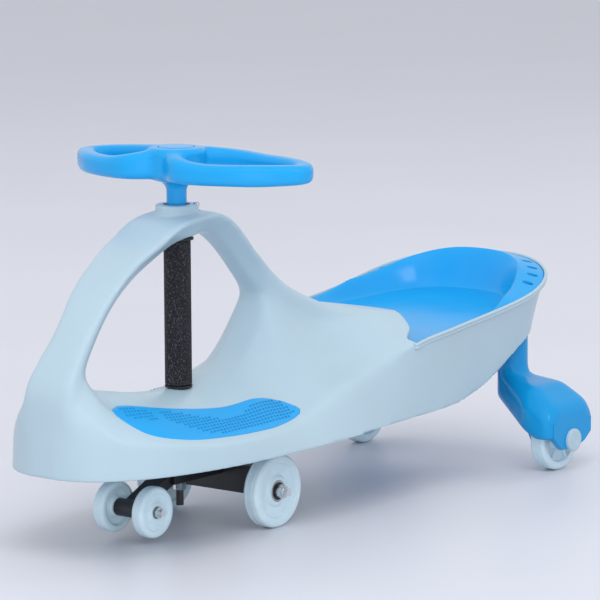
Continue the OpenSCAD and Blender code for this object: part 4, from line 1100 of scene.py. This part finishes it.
class WIGGLE_OT_pads(Operator):
    """Foot pads with raised dots"""

    bl_idname = "wiggle.pads"
    bl_label = "Foot pads"
    # Spacing of the staggered rows, as a share of the pitch, and where the first row lies
    row_share = 0.866
    first_row = 20

    def execute(self, context):
        for name, side in SIDES.items():
            pad = self.sheet(f"foot_pad_{name}_skin", side)
            hand_in(pad, "chassis", "pad_plastic", finish_of("pad"), f"foot_pad_{name}", angle=60)
            dots = self.dots(f"foot_pad_{name}_dots", side)
            # The dots take the darker blue: painted shade round each dot
            hand_in(dots, "chassis", "pad_plastic", finish_of("dots"), angle=60)
        return {"FINISHED"}

    def sheet(self, name, side, edge_run=2.2):
        """Pad that rises from a quarter of its height at the edge."""
        grid = pad_grid(0, 110, end_heavy(25))
        x, y, _ = grid
        edge = np.minimum(y - y[:, :1], y[:, -1:] - y)
        ends = np.minimum(x - PAD_REAR, PAD_FRONT - x)
        crown = PAD_PROUD * (0.25 + 0.75 * ease(np.minimum(edge, ends) / edge_run))
        return pad_block(name, side, grid, PAD_DEPTH - SKIN_GAP, crown)

    def dotted(self, x, y):
        """Whether the pattern has a dot here: a smooth band inside the middle, a bare outer front."""
        low, high = pad_row(x, 0)
        u = (x - PAD_REAR) / (PAD_FRONT - PAD_REAR)
        v = (y - low) / (high - low)
        inner = 0.12 + 0.34 * math.exp(-(((u - 0.4) / 0.16) ** 2))
        outer = 0.9 - 0.42 * float(ease((u - 0.55) / 0.2))
        off_ends = 0.04 < u < 0.94
        on_gap = 0.73 < u < 0.78
        return off_ends and not on_gap and inner < v < outer

    def dots(self, name, side, around=10, sunk=0.6):
        """Domes in staggered rows, all in one mesh."""
        pitch, radius, height = sizes().dot_pitch, sizes().dot_d / 2, sizes().dot_h
        rows = [(radius, -sunk), (radius, 0), (0.86 * radius, 0.5 * height), (0.5 * radius, 0.87 * height)]
        dome = np.concatenate([*(at_height(circle(0, 0, r, around), h) for r, h in rows), [(0, 0, height)]])
        top = len(dome) - 1
        last = top - around
        dome_faces = ring_faces(len(rows), around) + [tuple(range(around))]
        dome_faces += [(last + k, last + (k + 1) % around, top) for k in range(around)]
        domes, faces = [], []
        for i, y in enumerate(np.arange(self.first_row, HALF_W, pitch * self.row_share)):
            for x in np.arange(PAD_REAR, PAD_FRONT, pitch) + (pitch / 2 if i % 2 else 0):
                if self.dotted(x, y):
                    first = len(domes) * len(dome)
                    faces += [tuple(first + corner for corner in face) for face in dome_faces]
                    domes.append((dome + [x, y, float(deck_z_at(x, y)) + PAD_PROUD]) * [1, side, 1])
        return new_object(name, np.concatenate(domes), faces)


class WIGGLE_OT_steering(Operator):
    """Steering wheel, its centre cap, stem and the column sleeve"""

    bl_idname = "wiggle.steering"
    bl_label = "Steering wheel and column"
    bar_w = 20
    hub_d = 58
    cap_d = 36
    recess = 4
    shaft_r = 7.1
    fillet_passes = 160
    last_passes = 10

    def execute(self, context):
        tip = span("steering_wheel")[1][1] - self.bar_w / 2
        wheel = self.hub()
        combine(wheel, [self.grip(tip, side) for side in SIDES.values()], "UNION")
        remesh(wheel, sizes().small_voxel)
        relax(wheel, self.fillet_passes, hollows=True)
        relax(wheel, self.last_passes)
        recess_d, floor = self.cap_d + 4 * SKIN_GAP, WHEEL_TOP - self.recess
        combine(wheel, [upright_cylinder("cap_recess", 0, 0, recess_d, floor, WHEEL_TOP + 10, 96)])
        hand_in(wheel, "steering", "blue_plastic", finish_of("blue"), "steering_wheel")
        turned = (
            ("hub_cap", self.cap_profile(), "blue_plastic", "blue"),
            ("wheel_stem", self.stem_profile(), "blue_plastic", "blue"),
            ("column_sleeve", self.sleeve_profile(), "sleeve_black", "sleeve"),
        )
        for node, profile, slot, finish in turned:
            piece = lathe(f"{node}_skin", profile, (0, 0, 0), "Z")
            hand_in(piece, "steering", slot, finish_of(finish), node)
        return {"FINISHED"}

    def grip_rows(self, tip):
        """Middle line of a grip: x, y, then its top and bottom below the top of the cap."""
        return [
            (16, 8, 0, 31), (34, 32, 5, 31), (33, 58, 9, 31), (23, 0.63 * tip, 9.5, 31),
            (9, 0.78 * tip, 9.5, 31.5), (-8, 0.91 * tip, 10, 31), (-26, tip, 10.5, 30),
            (-43, 0.91 * tip, 9.5, 28.5), (-50, 0.73 * tip, 8, 27), (-51, 0.51 * tip, 6.5, 26),
            (-46, 0.32 * tip, 3.5, 25.5), (-30, 18, 0.5, 27), (-10, 4, -0.5, 30),
        ]

    def grip(self, tip, side, steps=140, round_steps=40, squareness=3.4):
        """Loop of a flat-sided bar."""
        rows = self.grip_rows(tip)
        row = row_at(rows, np.linspace(0, len(rows) - 1, steps))
        travel = unit(np.gradient(row[:, :2], axis=0))
        turn = full_turn(round_steps)
        power = 2 / squareness
        u = np.sign(np.cos(turn)) * np.abs(np.cos(turn)) ** power * self.bar_w / 2
        v = np.sign(np.sin(turn)) * np.abs(np.sin(turn)) ** power
        x = row[:, :1] + travel[:, 1:] * u
        y = row[:, 1:2] - travel[:, :1] * u
        top, foot = row[:, 2:3], row[:, 3:]
        z = WHEEL_TOP - (top + foot) / 2 + (foot - top) / 2 * v
        return loft("grip", np.stack([x, side * y, z], -1))

    def hub(self):
        r = self.hub_d / 2
        top = WHEEL_TOP + 0.8
        profile = [
            (CORE_R, HUB_FOOT), (r - 9, HUB_FOOT), *arc(r - 8, HUB_FOOT + 10, 8, -80, 0, 6),
            (r, HUB_FOOT + 20), *arc(r - 4, top - 5, 5, 0, 80, 5), (self.cap_d / 2 + 2, top), (CORE_R, top),
        ]
        return lathe("steering_wheel_skin", profile, (0, 0, 0), "Z")

    def cap_profile(self, depth=3.5, edge=1.2):
        """Round cap with a low dome."""
        r = self.cap_d / 2
        return [
            (CORE_R, WHEEL_TOP - depth), (r, WHEEL_TOP - depth), *arc(r - edge, WHEEL_TOP, edge, 0, 80, 5),
            (0.6 * r, WHEEL_TOP + 1.4), (CORE_R, WHEEL_TOP + 1.5),
        ]

    def stem_profile(self, flare_r=6, flare_h=10, edge=0.6):
        """Tube that flares into the hub."""
        low, high = span("wheel_stem")
        r = STEM_D / 2
        foot = [(self.shaft_r, low[2]), (r - edge, low[2]), (r, low[2] + edge)]
        flare = [(r + flare_r * t**2.2, high[2] - flare_h + flare_h * t) for t in np.linspace(0, 1, 9)]
        return [*foot, *flare, (self.shaft_r, high[2])]

    def sleeve_profile(self, edge=1.6):
        """Tube with rounded ends."""
        low, high = span("column_sleeve")
        r = high[1] - edge
        return [
            (self.shaft_r, low[2]), (r, low[2]), *arc(r, low[2] + edge, edge, -80, 0, 5),
            *arc(r, high[2] - edge, edge, 0, 90, 6), (self.shaft_r, high[2]),
        ]


class WIGGLE_OT_legs(Operator):
    """Rear legs: post and wheel housing, with the round caps over the axles"""

    bl_idname = "wiggle.legs"
    bl_label = "Rear legs"
    fillet_passes = 160
    last_passes = 40
    axle_d = 8.1

    def execute(self, context):
        for name, side in SIDES.items():
            leg = self.leg(f"rear_leg_{name}_skin", side)
            # The legs take the darker blue: painted shade
            hand_in(leg, "chassis", "blue_plastic", finish_of("leg"), f"rear_leg_{name}")
            cap = lathe(f"rear_axle_cap_{name}_skin", self.cap_profile(side), (REAR_X, 0, REAR_Z))
            hand_in(cap, "chassis", "cap_plastic", finish_of("cap"), f"rear_axle_cap_{name}")
        return {"FINISHED"}

    def ball(self, x, y, z, radius):
        """Points of a ball."""
        tilts = np.linspace(-np.pi / 2, np.pi / 2, 15)
        levels = [(radius * math.cos(tilt), z + radius * math.sin(tilt)) for tilt in tilts]
        return np.concatenate([at_height(circle(x, y, r, 28), level) for r, level in levels])

    def drum(self, x, y, radius, low, high):
        """Points of an upright drum's two ends."""
        return np.concatenate([at_height(circle(x, y, radius, 40), z) for z in (low, high)])

    def leg(self, name, side, corner=12, round_r=20):
        """Post run into the round housing, opened for the wheel and its axle."""
        wheel_r = span("rear_wheel_left")[1][2] - REAR_Z
        cloud = [self.drum(POST_X, POST_Y, POST_D / 2, POST_FOOT, POST_FOOT + 26)]
        for s in (-1, 1):
            x = REAR_X - s * (wheel_r + 10)
            cloud += [
                self.drum(x + s * corner, BOOT_OUT - corner, corner, BOOT_FOOT, BOOT_FOOT + 20),
                self.ball(x + s * round_r, BOOT_OUT - round_r, BOOT_FOOT + 23, round_r),
                self.drum(x + s * corner, BOOT_IN + 6 + corner, corner, BOOT_FOOT + 10, BOOT_FOOT + 34),
                self.ball(x + s * 26, REAR_Y - 14, BOOT_FOOT + 36, round_r),
            ]
        mirror = np.array([1, side, 1])
        leg = convex(name, np.concatenate(cloud) * mirror)
        post = upright_cylinder("post", POST_X, side * POST_Y, POST_D, POST_FOOT, POST_TOP)
        combine(leg, [post], "UNION")
        remesh(leg, sizes().small_voxel)
        relax(leg, self.fillet_passes, hollows=True)
        relax(leg, self.last_passes)
        combine(leg, [self.lug(side * BOOT_IN, BOOT_FOOT + 27), self.cheek(side)], "UNION")
        return combine(leg, [self.well(wheel_r + 4, side), self.bore(side)])

    def lug(self, y, top, diameter=22):
        """Lug that carries the axle in one wall of the housing."""
        corners = [(REAR_X + s * diameter, z) for s in (-1, 1) for z in (BOOT_FOOT + 10, top)]
        outline = np.concatenate([circle(REAR_X, REAR_Z, diameter / 2, 48), corners])
        depth = y + math.copysign(BOOT_WALL, y)
        return convex("lug", np.concatenate([np.insert(outline, 1, level, axis=1) for level in (y, depth)]))

    def cheek(self, side, half=36, edge=1.5):
        """Outer wall of the housing, drawn down round the axle."""
        outline = [
            (REAR_X + half, BOOT_FOOT + 16), (REAR_X + half, BOOT_FOOT + 2), (REAR_X + 22, REAR_Z - 7),
            (REAR_X + 18, REAR_Z - 9), (REAR_X - 8, REAR_Z - 10), (REAR_X - 24, REAR_Z - 5),
            (REAR_X - half, BOOT_FOOT), (REAR_X - half, BOOT_FOOT + 16),
        ]
        faces = ((WELL_OUT, 0), (BOOT_OUT - edge, 0), (BOOT_OUT, edge))
        rings = [[(x, side * y, z + lift) for x, z in outline] for y, lift in faces]
        return convex("cheek", np.concatenate(rings))

    def well(self, radius, side):
        """Room round the wheel, drawn in past its outer face."""
        drawn_in = REAR_Y + REAR_W / 2 + 2
        levels = ((WELL_IN, radius), (drawn_in, radius), (WELL_OUT, radius - BOOT_WALL))
        return loft("well", [axle_ring(REAR_AXLE, r, side * y, full_turn(96)) for y, r in levels])

    def bore(self, side, past=20):
        ends = sorted((side * (BOOT_IN - past), side * (BOOT_OUT + past)))
        return loft("bore", [axle_ring(REAR_AXLE, self.axle_d / 2, y, full_turn(72)) for y in ends])

    def cap_profile(self, side, edge=1.8):
        low, high = span("rear_axle_cap_left")
        r = (high[2] - low[2]) / 2
        profile = [
            (CORE_R, low[1]), (r, low[1]), (r, high[1] - edge),
            *arc(r - edge, high[1] - edge, edge, 0, 80, 5), (0.7 * r, high[1] - 0.1), (CORE_R, high[1]),
        ]
        return [(radius, side * y) for radius, y in profile]


def wheel_side(radius, width, bore, hub, rim, dish, shoulder, grooved, edge=0.8):
    """Half of a wheel's outline from the bore out: hub ring, dished face, rim, shoulder and tread groove."""
    h = width / 2
    face = h - 1
    floor = face - dish
    groove = h - shoulder - 1.2
    tread = [(radius, groove + edge), (radius - 0.7, groove), (radius, groove - edge)] if grooved else []
    return [
        (bore, face - 0.5), (bore + 0.5, face), (hub - edge, face), (hub, face - edge),
        (hub + 1.2, floor + edge), (hub + 2, floor), (rim - 2, floor), (rim - 1.2, floor + edge),
        (rim - edge, h - 0.7), (rim, h),
        *reversed(arc(radius - shoulder, h - shoulder, shoulder, 0, 90, 8)), *tread,
    ]


class WIGGLE_OT_wheels(Operator):
    """Front, balance and rear wheels with their bearings"""

    bl_idname = "wiggle.wheels"
    bl_label = "Wheels"
    shoulder = 4
    bearing_w = 7
    bearing_r = 4.05

    def execute(self, context):
        ribs = sizes().rib_count
        for name, side in SIDES.items():
            front, balance, rear = (f"{kind}_wheel_{name}" for kind in ("front", "balance", "rear"))
            self.wheel(front, side, FRONT_AXLE, bore=11.05, hub=15, dishes=(3, 3), rim_in=9)
            # The balance wheels take the paler wheel paint: painted light
            self.wheel(
                balance, side, BALANCE_AXLE, bore=6.05, hub=10, dishes=(1.2, 5), rim_in=6, grooved=False,
                finish="small_wheel")
            self.wheel(rear, side, REAR_AXLE, bore=7.05, hub=12, dishes=(4.5, 4.5), rim_in=8, ribs=ribs)
            self.bearings(name)
        return {"FINISHED"}

    def wheel(self, node, side, axle, bore, hub, dishes, rim_in, ribs=0, grooved=True, finish="wheel"):
        """Turned wheel, its outer and inner face dished by two depths."""
        low, high = span(node)
        radius = (high[2] - low[2]) / 2
        width = high[1] - low[1]
        centre = np.array([axle[0], side * axle[1], axle[2]])
        rim = radius - rim_in
        outer, inner = (
            wheel_side(radius, width, bore, hub, rim, dish, self.shoulder, grooved) for dish in dishes
        )
        profile = [(r, side * y) for r, y in outer] + [(r, -side * y) for r, y in reversed(inner)]
        wheel = lathe(f"{node}_skin", profile, centre, steps=128)
        if ribs:
            turns = [k * 2 * math.pi / ribs for k in range(ribs)]
            combine(wheel, [self.rib(centre, hub - 1, rim, width, turn) for turn in turns], "UNION")
        hand_in(wheel, f"{node}_roll", "wheel_plastic", finish_of(finish), node)

    def rib(self, centre, start, end, width, turn, thick=2.4):
        """Flat rib from the hub to the rim, along one direction."""
        y = width / 2 - 2
        ring = np.array([(start, -thick / 2), (end, -thick / 2), (end, thick / 2), (start, thick / 2)])
        x = ring[:, 0] * math.cos(turn) - ring[:, 1] * math.sin(turn)
        z = ring[:, 0] * math.sin(turn) + ring[:, 1] * math.cos(turn)
        return loft("rib", [np.column_stack([x, np.full(4, level), z]) + centre for level in (-y, y)])

    def bearings(self, name, edge=0.4, sunk=0.5):
        """Ball bearings on both faces of a front wheel: races and a dark shield sunk between them."""
        node = f"front_bearings_{name}"
        low, high = span(node)
        radius, width, bore = (high[2] - low[2]) / 2, self.bearing_w, self.bearing_r
        far, near = radius - 1.8, bore + 1.9
        profile = [
            (bore, 0), (radius, 0), (radius, width - edge), (radius - edge, width), (far, width),
            (far, width - sunk), (near, width - sunk), (near, width), (bore + edge, width),
            (bore, width - edge),
        ]
        centre = (FRONT_AXLE[0], 0, FRONT_AXLE[2])
        middle = (Vector(centre) + Vector((COLUMN_X, 0, 0))) * MM
        for label, end, out in (("outer", high[1], 1), ("inner", low[1], -1)):
            start = end - out * width
            ring = lathe(f"{node}_{label}", [(r, start + out * h) for r, h in profile], centre)
            finish = [finish_of("bearing"), finish_of("shield")]
            nodes = [node] if label == "outer" else []
            hand_in(ring, f"front_wheel_{name}_roll", "bearing_steel", finish, *nodes)
            for face in ring.data.polygons:
                off = face.center - middle
                face.material_index = int(near < math.hypot(off.x, off.z) / MM < far)


class WIGGLE_OT_hardware(Operator):
    """Nuts, axles, washers, bushes and the bracket"""

    bl_idname = "wiggle.hardware"
    bl_label = "Hardware"
    finishes = {
        "bracket": ["axle_bracket", "shaft_end_cap"],
        "bright": ["front_axle", "balance_axle", "shaft_washer", "shaft_nut", "front_axle_spacers"],
        "plain": [
            "steering_shaft", "thrust_washer", "hub_bolt", "seat_screws", "leg_screws", "rear_axle_left",
            "rear_axle_right", "rear_axle_clips",
        ],
        "black": ["upper_bush", "lower_bush"],
        "bush": [
            "rear_axle_spacers", "balance_bushes_left", "balance_bushes_right", "rear_bushes_left",
            "rear_bushes_right",
        ],
    }
    # Axle, height, size across the flats and bore of each pair of nuts
    nuts = {"front_axle_nut": (FRONT_AXLE, 7, 13, 8.1), "balance_axle_nut": (BALANCE_AXLE, 5, 10, 6.1)}

    def execute(self, context):
        for finish, nodes in self.finishes.items():
            for node in nodes:
                dress(node, finish_of(finish))
        for name, shape in self.nuts.items():
            for label in SIDES:
                self.nut(name, label, *shape)
        return {"FINISHED"}

    def nut(self, name, label, axle, height, across, bore):
        """Chamfered hexagon nut with a round locking collar."""
        node = f"{name}s"
        side = SIDES[label]
        start = span(node)[1][1] - height
        flat = across / 2
        turn = np.radians(np.arange(0, 360, 5))
        corner = flat / np.cos((turn + math.pi / 6) % (math.pi / 3) - math.pi / 6)
        hexagon = 0.72 * height
        levels = [
            (bore / 2, 0), (np.minimum(corner, flat * 1.04), 0), (corner, 0.6), (corner, hexagon - 0.7),
            (np.minimum(corner, flat * 1.03), hexagon), (flat * 0.86, hexagon), (flat * 0.84, height - 0.6),
            (flat * 0.74, height), (bore / 2, height),
        ]
        rings = [axle_ring(axle, r, side * (start + h), turn) for r, h in levels]
        faces = ring_faces(len(rings), len(turn), closed=True)
        nut = new_object(f"{name}_{label}", np.concatenate(rings), faces)
        nodes = [node] if label == "left" else []
        hand_in(nut, "steering", "bright_steel", finish_of("bright"), *nodes, angle=25)


class WIGGLE_OT_stage(Operator):
    """Floor, lamps and camera"""

    bl_idname = "wiggle.stage"
    bl_label = "Stage"
    # Point that the camera looks at, in millimetres from the steering axis, and the lamps' aim in metres
    target = (-199.43, 0, 210.06)
    lamp_aim = (0, 0, 0.2)
    sky_strength = 0.78
    sensor_width = 36
    # Radii of the floor's rings, in metres
    floor_radii = (0.5, 2, 8, 30)

    def execute(self, context):
        stage = context.scene.wiggle_stage
        context.scene.view_settings.view_transform = "Standard"
        self.floor(stage)
        self.world(context.scene, stage)
        self.lamp("key_lamp", (1.6, 1.5, 3.0), 2.6, 46, soft=True)
        self.lamp("fill_lamp", (0.4, -2.8, 2.2), 3.0, 18, soft=True)
        self.lamp("back_lamp", (-3.0, 0.6, 2.4), 2.4, 24, soft=True)
        self.lamp("low_lamp", (2.6, 2.0, 0.4), 1.4, 30, soft=True)
        self.lamp("left_glint", (0.9, 2.6, 1.9), 0.16, 2.2)
        self.lamp("right_glint", (0.55, 2.75, 2.0), 0.16, 2.2)
        self.camera(context.scene, stage)
        return {"FINISHED"}

    def floor(self, stage, steps=96):
        """Round floor, wide enough to reach the horizon."""
        rings = [at_height(circle(0, 0, radius, steps), 0) for radius in self.floor_radii]
        mesh = bpy.data.meshes.new("floor")
        faces = [tuple(range(steps)), *ring_faces(len(rings), steps)]
        mesh.from_pydata(np.concatenate(rings).tolist(), [], faces)
        floor = bpy.data.objects.new("floor", mesh)
        bpy.context.scene.collection.objects.link(floor)
        shader = Shader("floor_paint", {"Specular IOR Level": 0.35})
        patches = shader.noise(400, 3)
        tone = shader.blend(patches.step(0.3, 0.7), shade(stage.floor, 0.985), shade(stage.floor, 1.01))
        mesh.materials.append(shader.finish(tone, roughness=0.36 + 0.08 * patches))

    def world(self, scene, stage):
        """Even light from all round."""
        world = bpy.data.worlds.new("studio")
        world.use_nodes = True
        background = world.node_tree.nodes["Background"]
        background.inputs["Color"].default_value = (*stage.sky, 1)
        background.inputs["Strength"].default_value = self.sky_strength
        scene.world = world

    def lamp(self, name, place, size, power, soft=False):
        """Disc lamp aimed at the car. A soft one lights it without a mirror image in the gloss."""
        data = bpy.data.lights.new(name, "AREA")
        data.shape = "DISK"
        data.size = size
        data.energy = power
        lamp = bpy.data.objects.new(name, data)
        lamp.visible_glossy = not soft
        lamp.location = place
        lamp.rotation_euler = (Vector(self.lamp_aim) - Vector(place)).to_track_quat("-Z", "Y").to_euler()
        bpy.context.scene.collection.objects.link(lamp)

    def camera(self, scene, stage):
        """Camera on a sphere round its target, rolled about its own axis."""
        data = bpy.data.cameras.new("camera")
        data.sensor_width = self.sensor_width
        data.lens = stage.lens
        camera = bpy.data.objects.new("camera", data)
        flat, rise = math.cos(stage.elevation), math.sin(stage.elevation)
        back = Vector((math.sin(stage.azimuth) * flat, math.cos(stage.azimuth) * flat, rise))
        right = (-back).cross(Vector((0, 0, 1))).normalized()
        up = back.cross(right)
        c, s = math.cos(stage.roll), math.sin(stage.roll)
        axes = Matrix((c * right + s * up, c * up - s * right, back)).transposed()
        look = (Vector(self.target) + Vector((COLUMN_X, 0, 0))) * MM
        camera.matrix_world = Matrix.Translation(look + stage.distance * back) @ axes.to_4x4()
        scene.collection.objects.link(camera)
        scene.camera = camera


class WIGGLE_PT_pieces(Panel):
    """Lists the pieces in the sidebar"""

    bl_idname = "WIGGLE_PT_pieces"
    bl_label = "Wiggle car"
    bl_space_type = "VIEW_3D"
    bl_region_type = "UI"
    bl_category = "Wiggle car"

    def draw(self, context):
        for operator in OPERATORS:
            self.layout.operator(operator.bl_idname)
        for group in (context.scene.wiggle_paints, context.scene.wiggle_sizes, context.scene.wiggle_stage):
            box = self.layout.box()
            for name in group.__annotations__:
                box.prop(group, name)


OPERATORS = (
    WIGGLE_OT_stage, WIGGLE_OT_body, WIGGLE_OT_seat, WIGGLE_OT_pads, WIGGLE_OT_steering, WIGGLE_OT_legs,
    WIGGLE_OT_wheels, WIGGLE_OT_hardware,
)
GROUPS = {"wiggle_paints": WigglePaints, "wiggle_sizes": WiggleSizes, "wiggle_stage": WiggleStage}


def register():
    for cls in (*GROUPS.values(), *OPERATORS, WIGGLE_PT_pieces):
        bpy.utils.register_class(cls)
    for name, group in GROUPS.items():
        setattr(bpy.types.Scene, name, PointerProperty(type=group))


def unregister():
    for name in GROUPS:
        delattr(bpy.types.Scene, name)
    for cls in (WIGGLE_PT_pieces, *OPERATORS, *GROUPS.values()):
        bpy.utils.unregister_class(cls)


def main():
    register()
    for operator in OPERATORS:
        getattr(bpy.ops.wiggle, operator.bl_idname.split(".")[1])()


if __name__ == "__main__":
    main()
